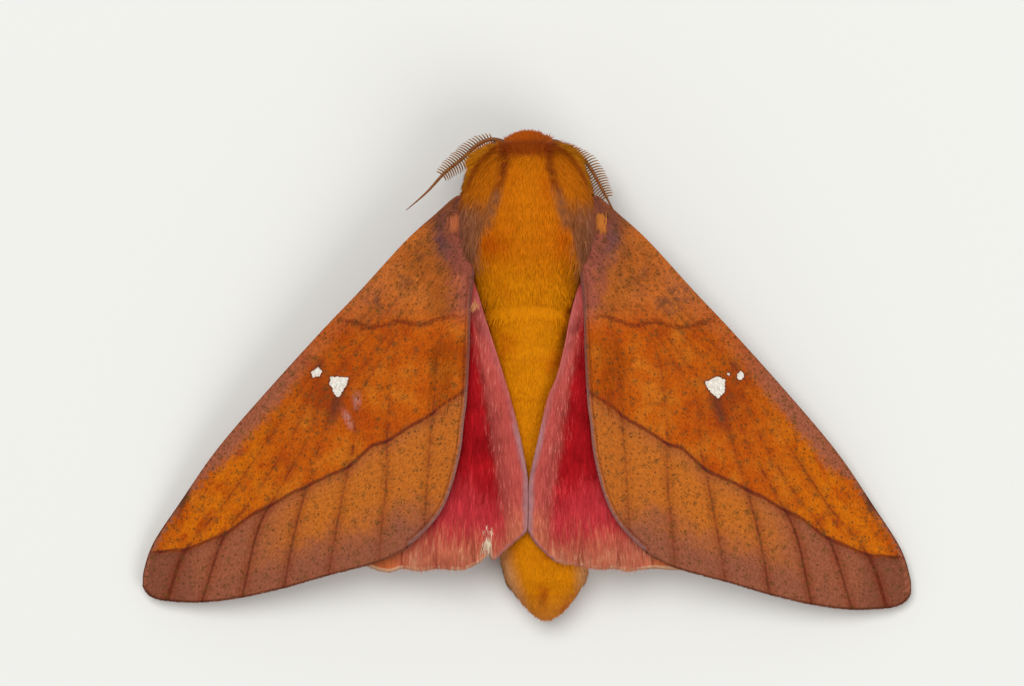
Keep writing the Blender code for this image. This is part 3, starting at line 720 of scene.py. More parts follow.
def bodyLie(places):
    # backwards over the trunk and fanning over the shoulders, along the collar's rim at
    # the sides, and from a parting on the collar's top forwards over the head
    x, y, z = places.T
    shoulder = smoothStep(-14.0, -16.8, y) * smoothStep(1.0, 3.0, np.abs(x))
    inward = window(y, -15.5, -13.0, -9, -6) * smoothStep(2.2, 3.6, np.abs(x))
    waist = window(y, -8.0, -6.5, -4.6, -3.2) * smoothStep(1.8, 2.9, np.abs(x))
    lie = np.stack([np.sign(x) * (0.6 * shoulder - 0.12 * inward + 0.5 * waist), np.ones_like(x),
                    -0.15 - 0.4 * (z < 5)], axis=1)
    reach = np.maximum(collarReach(x, y), 1e-6)
    out = np.abs(x) / collar["halfWidth"] / reach
    ahead = (collar["middleY"] - y) / collar["halfLength"] / reach
    side = smoothStep(0.6, 4.2, np.abs(x))
    rim = np.stack([np.sign(x) * (side * ahead + (1 - side) * out),
                    side * out - (1 - side) * ahead, -0.3 * side - 0.9 * (1 - side)], axis=1)
    low = 0.64 + 0.16 * smoothStep(0.4, 2.2, np.abs(x))
    onRim = smoothStep(-14.0, -15.5, y) * smoothStep(low, low + 0.1, reach)
    lie += (rim - lie) * onRim[:, None]
    # the hair crosses over where it parts
    parting = smoothStep(-14.0, -15.5, y) * smoothStep(0.2, 0.08, np.abs(reach - low - 0.03))
    lie[:, 1] += 2.5 * parting * softNoise(places, 0.16, 8)
    face = np.stack([0.25 * x, -0.15 * np.ones_like(x), -1.2 * np.ones_like(x)], axis=1)
    lie += (face - lie) * (smoothStep(-16.2, -17.0, y) * smoothStep(7.0, 6.0, z))[:, None]
    away, far = fromEyes(places)
    lie += away * (1.4 * smoothStep(0.7, 0.0, far))[:, None]
    # down over the end of the abdomen
    lie[:, 2] -= 1.1 * smoothStep(15.6, 17.4, y)
    lie[:, 0] += 0.16 * softNoise(places, 1.3, 5)
    lie[:, 2] += 0.12 * softNoise(places, 1.1, 6)
    return lie


coats = {
    # pieces, tufts in each, length, width, rise and fall, rings
    "thorax": {"pieces": 3, "tufts": 13000, "length": 1.3, "width": 0.09, "rise": 0.45,
               "fall": 0.32, "rings": 2},
    "shoulder": {"pieces": 1, "tufts": 5500, "length": 2.1, "width": 0.06, "rise": 0.42,
                 "fall": 0.32, "rings": 2},
    "collar": {"pieces": 1, "tufts": 11500, "length": 0.8, "width": 0.07, "rise": 0.55,
               "fall": 0.3, "rings": 2},
    "head": {"pieces": 1, "tufts": 14500, "length": 0.6, "width": 0.058, "rise": 0.6,
             "fall": 0.36, "rings": 2},
    "abdomen": {"pieces": 2, "tufts": 19000, "length": 0.85, "width": 0.085, "rise": 0.42,
                "fall": 0.28, "rings": 1},
    "belly": {"pieces": 1, "tufts": 16500, "length": 0.95, "width": 0.13, "rise": 0.46,
              "fall": 0.33, "rings": 1},
    "limbs": {"pieces": 1, "tufts": 15500, "length": 0.27, "width": 0.06, "rise": 0.45,
              "fall": 0.26, "rings": 1, "sink": 0.02},
}


# Where each coat grows: a share from 0 to 1 for each place on the skin.
def clearOfEyes(places):
    return fromEyes(places)[1] > 0.06


def abdomenShare(y):
    return smoothStep(-5.8, -4.2, y)


def thoraxShare(y, z):
    return (1 - headShare(y, z)) * (1 - abdomenShare(y))


def keepThorax(places, limb):
    y, z = places.T[1:]
    return thoraxShare(y, z) * smoothStep(3.0, 4.0, z) * (limb < 0.5) * clearOfEyes(places)


def keepShoulder(places, limb):
    x, y, z = places.T
    out = smoothStep(3.0, 4.0, np.abs(x))
    return out * window(y, -14.0, -12.0, -10.5, -8.8) * smoothStep(6.0, 6.9, z)


def keepCollar(places, limb):
    x, y, z = places.T
    low = 0.78 - 0.16 * smoothStep(2.2, 0.4, np.abs(x))
    edge = smoothStep(-14.4, -16.0, y) * smoothStep(low, low + 0.1, collarReach(x, y))
    return edge * smoothStep(5.6, 6.4, z) * clearOfEyes(places)


def keepHead(places, limb):
    y, z = places.T[1:]
    front = smoothStep(-16.0, -16.6, y) * smoothStep(8.0, 7.0, z)
    return front * clearOfEyes(places) * (1 - 0.5 * limb)


def keepAbdomen(places, limb):
    y, z = places.T[1:]
    return abdomenShare(y) * smoothStep(1.6, 2.6, z) * (limb < 0.5)


def keepBelly(places, limb):
    y, z = places.T[1:]
    front, rear = thoraxShare(y, z) * (z < 4.0), abdomenShare(y) * (z < 2.6)
    return np.maximum(front, rear) * (limb < 0.5) * clearOfEyes(places)


def keepLimbs(places, limb):
    return (limb > 0.4) * (places[:, 2] > 0.1) * (places[:, 1] > -17.3)


keepers = {"thorax": keepThorax, "shoulder": keepShoulder, "collar": keepCollar,
           "head": keepHead, "abdomen": keepAbdomen, "belly": keepBelly, "limbs": keepLimbs}


def limbLie(places):
    # down each leg and along its foot; the front legs turn inwards below the knee
    x, y, z = places.T
    low = smoothStep(0.9, 0.4, z)
    shin = smoothStep(2.3, 1.7, z)
    front = (y < -14.2)[:, None]
    fronts = [0.85 - 1.3 * shin - 0.4 * low, -0.5 - 0.1 * shin, -0.3 - 0.5 * shin + 0.6 * low]
    others = [0.7 - 0.2 * low, 0.3 + 0.5 * low, -0.9 + 0.8 * low]
    lie = np.where(front, np.stack(fronts, axis=1), np.stack(others, axis=1))
    lie[:, 0] *= np.sign(x)
    return lie


def coatLength(name, coat, places):
    x, y, z = np.abs(places[:, 0]), places[:, 1], places[:, 2]
    length = coat["length"] * (1 + 0.25 * softNoise(places, 1.6, 9))
    toEye = fromEyes(places)[1]
    if name == "thorax":
        # long over the shoulder flaps and the rear, short along the middle and the front
        length *= 0.75 + 0.6 * smoothStep(1.5, 4.2, x) * smoothStep(-16, -12, y)
        length *= 1 - 0.4 * smoothStep(-16.9, -17.7, y)
    if name == "collar":
        # overhanging the eyes and the roots of the antennae
        length *= 1 + 0.75 * window(x, 1.0, 1.7, 2.9, 3.8)
    if name == "head":
        length *= 0.5 + 0.6 * smoothStep(0.1, 0.8, toEye)
        length *= 1 - 0.4 * smoothStep(3.6, 2.4, z)
    if name == "abdomen":
        length *= 0.8 + 0.9 * smoothStep(2.2, 3.0, x) * smoothStep(-3.2, -4.8, y)
    if name == "limbs":
        length *= 1 - 0.55 * smoothStep(1.0, 0.4, z)
    # nothing hangs below the ground or over the eyes
    length *= np.clip(0.35 + z / 1.2, 0.35, 1) * (1 - 0.5 * smoothStep(0.5, 0.05, toEye))
    return length


def growCoat(skin):
    plain, longHaired = coatPaint("coat_fur"), coatPaint("coat_long_hair", 0.9)
    for index, (name, coat) in enumerate(coats.items()):
        for number in range(coat["pieces"]):
            seed = 100 * index + number
            places, normals, limb = scatter(skin, coat["tufts"], seed, keepers[name])
            lie = limbLie(places) if name == "limbs" else bodyLie(places)
            material = plain
            if name == "shoulder":
                # level, back over the wings and a little outwards
                material = longHaired
                lie[:, 0] = np.sign(places[:, 0]) * 0.22
                lie[:, 2] = 0.0
            tufts = growTufts(f"coat_{name}_{number + 1}", places, normals, lie,
                              coatLength(name, coat, places), coat["width"], coat["rise"],
                              coat["fall"], bodySpots(places), material, seed + 7,
                              rings=coat["rings"], sink=coat.get("sink", 0.08),
                              marks={"limb": limb})
            settle(tufts, "body_fur")


print("making the skin")
skin = makeSkin()
skin.data.materials.clear()
skin.data.materials.append(coatPaint("skin_fur"))
settle(skin, "body_fur", *trunkNodes, *legNodes, *palpNodes)
print("skin", len(skin.data.polygons), "faces")
growCoat(skin)
print("coat done")


# Small bright tufts on the roots of the forewings and the inner edge of the left one.
brightTufts = {
    "places": [(5.35, -11.9, 7.6), (-5.45, -12.0, 7.45), (3.9, -5.5, 7.6)],
    "lies": [(0.04, 1.0, 0.0), (0.0, 1.0, 0.0), (0.05, 1.0, 0.0)],
    "lengths": [1.0, 1.1, 0.6],
    "spread": [0.3, 0.3, 0.24],
    "colours": [tint(192, 106, 66), tint(204, 120, 50), tint(196, 130, 84)],
    "strands": [190, 190, 36],
    "width": 0.05, "rise": 0.3, "fall": 0.2,
}


def addBrightTufts():
    random = np.random.default_rng(77)
    for index, place in enumerate(brightTufts["places"]):
        count = brightTufts["strands"][index]
        paint = Paint(f"tuft_{index + 1}")
        colour = strandShade(paint, brightTufts["colours"][index], 0.75, 1.08)
        material = paint.finish(colour, None, 0, 0, 0.75)
        roots = np.array(place) + random.normal(0, brightTufts["spread"][index] / 2, (count, 3))
        roots[:, 2] = place[2]
        tuft = growTufts(f"bright_tuft_{index + 1}", roots, up,
                         np.array([brightTufts["lies"][index]]), brightTufts["lengths"][index],
                         brightTufts["width"], brightTufts["rise"], brightTufts["fall"],
                         bodySpots(roots), material, 80 + index, rings=2)
        settle(tuft, "body_fur")


addBrightTufts()


# The eyes: dark and faintly faceted.
def makeEye(side):
    centre = np.array(eye["centre"]) * (signOf[side], 1, 1) * mm
    ball = addPrimitive(bpy.ops.mesh.primitive_ico_sphere_add, f"eye_{side}_faceted",
                        subdivisions=5, radius=eye["radius"] * mm, location=centre)
    bpy.ops.object.transform_apply(location=True, rotation=True, scale=True)
    ball.data.shade_smooth()
    paint = Paint(f"eye_{side}_gloss")
    place = paint.millimetres()
    facets = paint.node("ShaderNodeTexVoronoi", {"feature": "F1"}, output="Distance",
                        Vector=place, Scale=11.0, Randomness=0.35)
    cloud = paint.noise(place, 1.4, 2.0)
    colour = paint.mix(paint.ramp(cloud, 0.35, 0.7), tint(40, 21, 12), tint(74, 42, 24))
    colour = paint.mix(paint.ramp(facets, 0.3, 0.6) * 0.5, colour, tint(16, 9, 7))
    ball.data.materials.append(paint.finish(colour, -facets, 0.3, 0.02 * mm, 0.42, specular=0.18))
    settle(ball, "eye", f"eye_{side}")


# The antennae: a jointed shaft with a comb of paired teeth, then a bare thread.
antenna = {
    "route": {
        "left": [(1.3, -17.2, 5.9), (2.1, -17.65, 5.8), (2.9, -17.7, 5.7), (3.8, -17.25, 5.6),
                 (4.85, -16.3, 5.4), (6.2, -15.2, 5.15), (7.5, -13.8, 4.95), (9.1, -12.4, 4.75)],
        "right": [(-1.3, -17.2, 5.8), (-2.1, -17.5, 5.7), (-3.0, -17.15, 5.55),
                  (-3.85, -16.5, 5.4), (-4.6, -15.8, 5.25), (-5.25, -14.7, 5.05),
                  (-5.9, -13.5, 4.9), (-6.9, -11.6, 4.75)],
    },
    "radius": [0.2, 0.15, 0.14, 0.13, 0.12, 0.08, 0.025],
    "comb": {"left": (0.15, 0.61), "right": (0.24, 0.76)},
    "spacing": 0.19,
    "tooth": 0.95,
    "toothRadius": 0.062,
    "sweep": 0.34,  # of the tooth's length, forwards along the shaft
    "droop": 0.16,  # of the tooth's length too
    "bend": 1.25,
    "joints": 46,
    "waist": 0.86,  # the shaft between two joints, against the joints themselves
    "edges": 8,
    "length": 13,
    "socket": (0.5, 2.0),  # the dark root ends between these distances along the shaft
}


def antennaPaint():
    paint = Paint("antenna_horn")
    place = paint.millimetres()
    along, shade = paint.attribute("along"), paint.attribute("shade")
    grain = paint.noise(place, 6.0, 2.0)
    colour = paint.mix(paint.ramp(grain, 0.3, 0.7), tint(112, 60, 14), tint(146, 84, 26))
    tooth = paint.mix(along, tint(98, 58, 16), tint(170, 116, 48))
    colour = paint.mix(paint.attribute("tooth"), colour, tooth)
    colour = paint.mix(paint.attribute("socket") * 0.8, colour, tint(52, 28, 12))
    return paint.finish(colour, grain, 0.3, 0.02 * mm, 0.5 + 0.1 * shade, specular=0.3)


def makeAntenna(side, material):
    route = smoothLine(antenna["route"][side], 0.05)
    share = np.linspace(0, 1, antenna["joints"] * 2 + 1)
    shaft = pointAlong(route, share)
    radius = np.interp(share, np.linspace(0, 1, len(antenna["radius"])), antenna["radius"])
    radius[1::2] *= antenna["waist"]
    stem = strandMesh(f"antenna_{side}_stem", shaft[None] * mm, radius[None, 1:-1] * mm, up,
                      material, shape=antenna["edges"], marks={"tooth": 0.0}, seed=3)
    at = np.repeat(share, [1] + [antenna["edges"]] * (len(share) - 2) + [1])
    putAttribute(stem.data, "socket", 1 - smoothStep(*antenna["socket"], at * antenna["length"]))
    low, high = antenna["comb"][side]
    count = round((high - low) * np.linalg.norm(np.diff(route, axis=0), axis=1).sum()
                  / antenna["spacing"])
    at = np.repeat(np.linspace(low, high, count), 2)
    sign = np.tile([1.0, -1.0], count)
    roots = pointAlong(route, at)
    ahead = pointAlong(route, np.minimum(at + 0.01, 1)) - roots
    ahead /= np.linalg.norm(ahead, axis=1)[:, None]
    out = np.cross(ahead, up) * sign[:, None]
    out /= np.linalg.norm(out, axis=1)[:, None]
    # short at both ends of the comb, longest in its middle
    swell = np.sin(np.pi * np.clip((at - low + 0.06) / (high - low + 0.14), 0, 1)) ** 0.5
    long = antenna["tooth"] * swell * np.random.default_rng(11).uniform(0.94, 1.06, len(at))
    steps = np.array([0, 0.12, 0.4, 0.7, 1.0])[None, :, None]
    long = long[:, None, None]
    bend = out[:, None] * np.sin(steps * antenna["bend"]) / math.sin(antenna["bend"])
    paths = roots[:, None] + long * (bend * (1 - 0.1 * steps)
                                     + ahead[:, None] * antenna["sweep"] * steps**1.6)
    paths[..., 2] -= (antenna["droop"] * long * steps**2)[..., 0]
    half = antenna["toothRadius"] * np.array([[1.1, 0.9, 0.7]])
    teeth = strandMesh(f"antenna_{side}_comb", paths * mm, half * mm, up, material, shape=5,
                       marks={"tooth": 1.0, "socket": 0.0}, seed=4)
    for piece in (stem, teeth):
        settle(piece, "antenna")
    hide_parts(f"antenna_{side}")


# The claws, two at the end of each foot.
feet = {
    "front": ((3.3, -16.5, 0.65), (2.3, -17.2, 0.0)),
    "middle": ((9.1, -7.8, 0.7), (10.8, -4.9, 0.0)),
    "hind": ((7.7, 0.0, 0.7), (8.7, 4.2, 0.0)),
    "lift": 0.22, "claw": 0.42, "clawRadius": 0.05, "spread": 0.5, "rooted": 0.15, "curl": 0.8,
}


def makeClaws():
    paths = []
    for pair in pairs:
        for sign in signOf.values():
            ankle, toe = (np.array(point) * (sign, 1, 1) for point in feet[pair])
            ahead = (toe - ankle) * (1, 1, 0)
            ahead /= np.linalg.norm(ahead)
            across = np.array([-ahead[1], ahead[0], 0])
            start = toe + (0, 0, feet["lift"]) - ahead * feet["rooted"]
            for turn in (-feet["spread"], feet["spread"]):
                out = ahead + across * turn
                drop = np.array([0, 0, -feet["lift"]])
                steps = np.array([0, 0.3, 0.65, 1.0])[:, None]
                paths.append(start + out * feet["claw"] * steps + drop * steps**2 * feet["curl"])
    paths = np.array(paths)
    half = feet["clawRadius"] * np.array([[1.0, 0.75]])
    paint = Paint("claw_horn")
    grain = paint.noise(paint.millimetres(), 5.0, 2.0)
    colour = paint.mix(grain, tint(30, 16, 10), tint(66, 34, 18))
    material = paint.finish(colour, grain, 0.2, 0.02 * mm, 0.3, specular=0.4)
    claws = strandMesh("claws", paths * mm, half * mm, up, material, shape=6, seed=5)
    settle(claws, "leg")


antennaMaterial = antennaPaint()
for side in sides:
    makeEye(side)
    makeAntenna(side, antennaMaterial)
makeClaws()
print("eyes, antennae and claws done")


# The wings, in plan and millimetres, for the left side.
roof = {"height": 7.45, "innerX": 4.3, "slope": 0.196, "curve": 0.001, "rearFall": 0.004,
        "frontLine": ((7.0, -12.0), (26.1, 9.5)), "droop": 0.45, "droopWidth": 1.3,
        "step": 1.2, "overAbdomen": 0.5, "soft": 0.15}
forewing = {
    "front": [(4.6, -13.0), (5.2, -13.5), (7.0, -12.0), (9.1, -10.1), (12.5, -6.4),
              (15.1, -3.7), (19.5, 1.1), (23.3, 5.5), (26.1, 9.5), (28.1, 12.5),
              (28.85, 14.6), (28.95, 15.7)],
    "outer": [(28.95, 15.7), (28.5, 16.4), (27.5, 16.8), (24.8, 16.95), (21.7, 16.6),
              (18.2, 15.8), (15.1, 14.9), (11.4, 13.9), (9.4, 13.0), (8.7, 12.5)],
    "inner": [(3.9, -8.0), (4.1, -6.2), (4.2, -4.8), (4.3, -1.5), (4.5, 1.8), (4.7, 3.3),
              (4.9, 5.2), (5.3, 7.1), (5.9, 9.0), (6.7, 10.5), (8.0, 11.95), (8.7, 12.5)],
    "spacing": 0.23,
    "thickness": 0.26,
    "rightReach": 0.55, "reachStart": -12.0, "reachLength": 28.8,
}
forewingVeins = [
    [(5.6, -12.4), (9.2, -9.2), (13.2, -4.9), (17.7, 0.0), (22.6, 5.7), (26.3, 10.8),
     (28.4, 15.0)],
    [(5.5, -11.9), (8.6, -8.2), (12.6, -3.9), (16.0, -0.2), (18.9, 4.0), (22.6, 9.4),
     (25.7, 13.1), (27.1, 16.8)],
    [(5.4, -11.6), (8.5, -7.9), (12.3, -3.5), (15.6, 0.2), (17.5, 4.4), (20.6, 9.2),
     (22.8, 12.1), (24.4, 16.8)],
    [(5.3, -11.3), (8.3, -7.5), (11.9, -3.0), (15.0, 0.9), (16.5, 4.8), (18.8, 8.8),
     (20.2, 11.5), (21.4, 16.6)],
    [(5.2, -10.6), (8.0, -6.7), (11.2, -2.0), (14.1, 1.6), (15.3, 4.4), (16.6, 8.6),
     (17.5, 12.0), (18.2, 15.8)],
    [(5.1, -10.2), (7.8, -6.2), (10.6, -1.8), (12.7, 1.8), (12.9, 4.7), (13.6, 8.0),
     (14.3, 11.6), (14.9, 15.0)],
    [(5.0, -9.8), (7.5, -5.8), (9.7, -2.0), (10.4, 3.0), (10.5, 7.6), (10.9, 11.7),
     (11.1, 13.9)],
    [(4.8, -8.8), (6.3, -3.4), (7.1, 3.8), (7.4, 7.6), (7.6, 11.4)],
]
outerLine = [(4.5, 1.0), (6.6, 2.35), (7.7, 3.15), (9.3, 4.1), (10.6, 4.85), (11.6, 5.25),
             (13.3, 6.65), (14.4, 7.25), (16.4, 8.15), (18.2, 9.1), (20.6, 10.4),
             (22.8, 11.85), (25.7, 13.0), (27.8, 13.2)]
innerLine = [(4.6, -4.4), (5.6, -4.55), (6.6, -4.3), (7.3, -4.02), (7.95, -3.84), (8.95, -4.02),
             (9.8, -4.15), (10.6, -3.84), (11.8, -3.65), (12.7, -3.95), (14.3, -4.3)]
hindwing = {
    "front": [(4.2, -7.9), (5.5, -7.6), (9.0, -4.6), (13.0, 0.4), (16.4, 5.0), (17.6, 7.4),
              (17.6, 8.4)],
    "rear": {
        "left": [(17.6, 8.4), (17.1, 9.8), (15.0, 12.2), (12.9, 13.7), (11.6, 14.3),
                 (10.4, 14.6), (9.3, 14.3), (8.0, 14.5), (6.8, 14.3), (5.0, 14.4),
                 (3.9, 14.0), (3.2, 13.5), (2.9, 13.05), (2.5, 13.65), (1.9, 13.1),
                 (1.2, 12.5), (0.5, 11.9), (-0.02, 11.4)],
        "right": [(17.6, 8.4), (17.1, 9.8), (15.0, 12.2), (12.9, 13.8), (11.5, 14.4),
                  (9.4, 14.3), (7.6, 14.5), (6.6, 14.3), (5.6, 14.35), (4.8, 14.25),
                  (4.1, 14.1), (2.9, 13.9), (2.1, 13.7), (1.2, 12.9), (0.7, 12.4),
                  (0.08, 11.4)],
    },
    "inner": {
        "left": [(3.6, -6.0), (3.25, -4.8), (2.85, -3.5), (2.1, -1.2), (1.3, 1.4), (0.6, 4.1),
                 (0.1, 6.6), (-0.06, 7.9), (-0.08, 10.0), (-0.02, 11.4)],
        "right": [(3.6, -6.0), (3.2, -4.4), (2.75, -2.1), (2.2, 0.0), (1.5, 1.7), (0.85, 4.5),
                  (0.4, 6.5), (0.14, 7.9), (0.11, 9.8), (0.08, 11.4)],
    },
    "ridge": [(4.1, -4.2), (3.7, -2.0), (3.1, 1.5), (2.4, 6.0), (1.7, 10.8)],
    "spacing": 0.22,
    "thickness": 0.22,
}
hindwingVeins = [
    [(6.2, -6.3), (10.2, -2.2), (13.6, 3.0), (15.2, 8.0), (15.3, 11.0)],
    [(5.7, -5.6), (9.0, -1.2), (11.2, 3.6), (12.2, 8.5), (12.4, 13.0)],
    [(5.3, -5.2), (7.4, -0.8), (8.6, 4.2), (9.2, 9.0), (9.4, 14.0)],
    [(5.0, -4.8), (5.9, 0.0), (6.5, 5.0), (6.7, 10.0), (6.8, 14.0)],
    [(4.7, -4.6), (4.6, 0.0), (4.4, 5.0), (4.1, 10.0), (3.9, 13.6)],
    [(4.4, -4.4), (3.4, -1.4), (2.4, 3.2), (1.9, 7.5), (1.8, 12.0)],
]
# The abdomen's sections, over which the hindwings lie: place, middle, half width, low, high.
abdomenSections = np.array([
    (-5.45, 0.00, 3.75, 1.30, 8.40), (-3.00, 0.00, 3.55, 1.00, 7.85),
    (0.00, 0.00, 3.50, 0.60, 7.35), (4.00, -0.05, 3.50, 0.20, 6.90),
    (8.00, -0.35, 3.55, -0.08, 6.45), (11.00, -0.80, 3.55, -0.10, 6.10),
    (14.00, -1.30, 3.50, -0.05, 5.55), (15.30, -1.40, 3.10, 0.25, 5.05),
    (16.60, -1.45, 2.30, 0.75, 4.35),
])


def forewingHeight(x, y):
    out = np.abs(x) - roof["innerX"]
    (x0, y0), (x1, y1) = roof["frontLine"]
    inside = ((y - y0) * (x1 - x0) - (np.abs(x) - x0) * (y1 - y0)) / math.hypot(x1 - x0, y1 - y0)
    droop = roof["droop"] * np.exp(-((np.maximum(inside, 0) / roof["droopWidth"]) ** 2))
    fall = roof["rearFall"] * np.maximum(y, 0) ** 2
    return roof["height"] - roof["slope"] * out - roof["curve"] * out**2 - fall - droop


def abdomenTop(x, y, grow):
    middle, half, low, high = (np.interp(y, abdomenSections[:, 0], column)
                               for column in abdomenSections.T[1:])
    out = np.clip(np.abs(x - middle) / (half + grow), 0, 1)
    rise = (1 - out**2.25) ** (1 / 2.25)
    return np.where(out < 1, (low + high) / 2 + ((high - low) / 2 + grow) * rise, 0.0)


def hindwingHeight(x, y):
    # the higher of two surfaces, one under the forewing and one over the abdomen, joined
    # softly where they meet
    under = forewingHeight(x, y) - roof["step"]
    over = under + (abdomenTop(x, y, roof["overAbdomen"]) - under) * smoothStep(-5.6, -3.6, y)
    soft = roof["soft"]
    return np.maximum(under, over) + soft * np.log1p(np.exp(-np.abs(under - over) / soft))


def patchPlaces(front, outer, inner, u, v):
    # a sheet stretched between its four edges
    front, outer, inner = (smoothLine(line, 0.1) for line in (front, outer, inner))
    root = np.stack([front[0], inner[0]])
    f, o = pointAlong(front, u), pointAlong(outer, v)
    i, r = pointAlong(inner, u), pointAlong(root, v)
    u, v = u[:, None], v[:, None]
    blend = (1 - v) * f + v * i + (1 - u) * r + u * o
    corner = ((1 - u) * (1 - v) * front[0] + u * (1 - v) * front[-1]
              + (1 - u) * v * inner[0] + u * v * inner[-1])
    return blend - corner


def addSheet(name, edges, spacing, long, wide):
    sheet = addPrimitive(bpy.ops.mesh.primitive_grid_add, name, size=1.0,
                         x_subdivisions=round(long / spacing),
                         y_subdivisions=round(wide / spacing))
    share = np.clip(placesOf(sheet.data)[:, :2] + 0.5, 0, 1)
    return sheet, patchPlaces(*edges, share[:, 0], share[:, 1])


def wingMarks(plan, wing):
    # what the wing's colours are measured from
    count, width = veinField(plan, [smoothLine(vein, 0.5) for vein in wing["veins"]])
    marks = {"vein": count, "gap": width, "planX": plan[:, 0], "planY": plan[:, 1]}
    for name, line in wing["lines"].items():
        marks[name] = sideDistance(plan, smoothLine(line, 0.4))
    return marks


def rightReach(y):
    share = np.maximum((y - forewing["reachStart"]) / forewing["reachLength"], 0)
    return y + forewing["rightReach"] * share**2


def veinRidge(marks, half, height):
    gap = np.abs(marks["vein"] - np.round(marks["vein"])) * marks["gap"]
    return height * np.exp(-((gap / half) ** 2))


def foreWing(side):
    edges = (forewing["front"], forewing["outer"], forewing["inner"])
    lines = {"frontEdge": forewing["front"][1:], "outerEdge": forewing["outer"],
             "innerEdge": forewing["inner"], "outerLine": outerLine, "innerLine": innerLine}
    return {"edges": edges, "lines": lines, "veins": forewingVeins, "side": side,
            "slot": "forewing", "spacing": forewing["spacing"], "size": (38.0, 21.0),
            "thickness": forewing["thickness"], "thin": ("frontEdge", "outerEdge", "innerEdge"),
            "height": forewingHeight, "veinSize": (0.24, 0.09)}


def hindWing(side):
    rear, inner = hindwing["rear"][side], hindwing["inner"][side]
    lines = {"frontEdge": hindwing["front"], "outerEdge": rear, "innerEdge": inner,
             "ridge": hindwing["ridge"]}
    return {"edges": (hindwing["front"], rear, inner), "lines": lines, "veins": hindwingVeins,
            "side": side, "slot": "hindwing", "spacing": hindwing["spacing"],
            "size": (20.0, 19.0), "thickness": hindwing["thickness"],
            "thin": ("outerEdge", "innerEdge"), "height": hindwingHeight, "veinSize": (0.22, 0.08)}


def wingSurface(wing, plan, marks):
    # from the plan of the left wing to places on this wing
    x, y = signOf[wing["side"]] * plan[:, 0], plan[:, 1]
    if wing["slot"] == "forewing" and wing["side"] == "right":
        y = rightReach(y)
    z = wing["height"](x, y) + veinRidge(marks, *wing["veinSize"])
    wave = np.stack([x, y, z], axis=1)
    z = z + 0.06 * softNoise(wave, 3.6, 21) + 0.02 * softNoise(wave, 1.1, 22)
    return np.stack([x, y, z], axis=1)


def edgeNearness(wing, marks):
    return np.min([np.abs(marks[name]) for name in wing["thin"]], axis=0)


def planOf(wing, places):
    # from places on this wing back to the plan of the left one
    plan = places[:, :2] / mm
    if wing["side"] == "right":
        plan[:, 0] *= -1
        if wing["slot"] == "forewing":
            # the reach, read backwards
            table = np.linspace(-20, 20, 800)
            plan[:, 1] = np.interp(plan[:, 1], rightReach(table), table)
    return plan


def makeWing(wing, material):
    name = f"{wing['slot']}_{wing['side']}"
    sheet, plan = addSheet(f"{name}_scaled", wing["edges"], wing["spacing"], *wing["size"])
    marks = wingMarks(plan, wing)
    putPlaces(sheet.data, wingSurface(wing, plan, marks) * mm)
    group = sheet.vertex_groups.new(name="thick")
    for index, weight in enumerate(smoothStep(0, 1.2, edgeNearness(wing, marks))):
        group.add([index], float(weight), "REPLACE")
    if wing["side"] == "right":
        inEditMode(sheet, (bpy.ops.mesh.flip_normals, {}))
    applyModifier(sheet, "SOLIDIFY", thickness=wing["thickness"] * mm, offset=0.0,
                  vertex_group="thick", thickness_vertex_group=0.3)
    sheet.data.shade_smooth()
    sheet.vertex_groups.clear()
    places = placesOf(sheet.data)
    for key, values in wingMarks(planOf(wing, places), wing).items():
        putAttribute(sheet.data, key, values)
    putAttribute(sheet.data, "under", smoothStep(0.2, -0.2, normalsOf(sheet.data)[:, 2]))
    putAttribute(sheet.data, "along", 1.0)
    putAttribute(sheet.data, "shade", 0.5)
    sheet.data.materials.append(material)
    settle(sheet, wing["slot"], name)
    print(name, len(sheet.data.polygons), "faces")


wingHair = {
    # the long scales at the base of each wing, and the fringe along its margin
    "forewing": {"roots": 9000, "length": 1.4, "width": 0.06, "rise": 0.22, "fall": 0.13},
    "hindwing": {"roots": 11500, "length": 1.8, "width": 0.07, "rise": 0.18, "fall": 0.12},
    "fringe": {"roots": 3000, "length": {"forewing": 0.22, "hindwing": 0.24}, "width": 0.1,
               "rise": 0.05, "fall": 0.1, "inside": 0.12},
}


def hairRegion(wing, plan, marks):
    # how thick the long scales grow at each place, from 0 to 1
    x, y = plan.T
    if wing["slot"] == "forewing":
        inner = smoothStep(3.4, 1.6, np.abs(marks["innerEdge"])) * smoothStep(3, -3, y)
        return np.maximum(inner, 1 - smoothStep(-9.5, -5.5, y + 0.35 * (x - 5)))
    return (1 - smoothStep(7.5, 9.5, x)) * smoothStep(-6, -4, y) * 0.9


def surfaceNormals(wing, plan, marks):
    step = 0.02
    here = wingSurface(wing, plan, marks)
    right = wingSurface(wing, plan + (step, 0), marks) - here
    ahead = wingSurface(wing, plan + (0, step), marks) - here
    normals = np.cross(right, ahead)
    normals /= np.linalg.norm(normals, axis=1)[:, None]
    return here, normals * np.sign(normals[:, 2])[:, None]


def onWing(wing, ways):
    # from ways in the plan of the left wing to level ways on this wing
    x, y = ways.T
    return np.stack([signOf[wing["side"]] * x, y, np.zeros(len(ways))], axis=1)


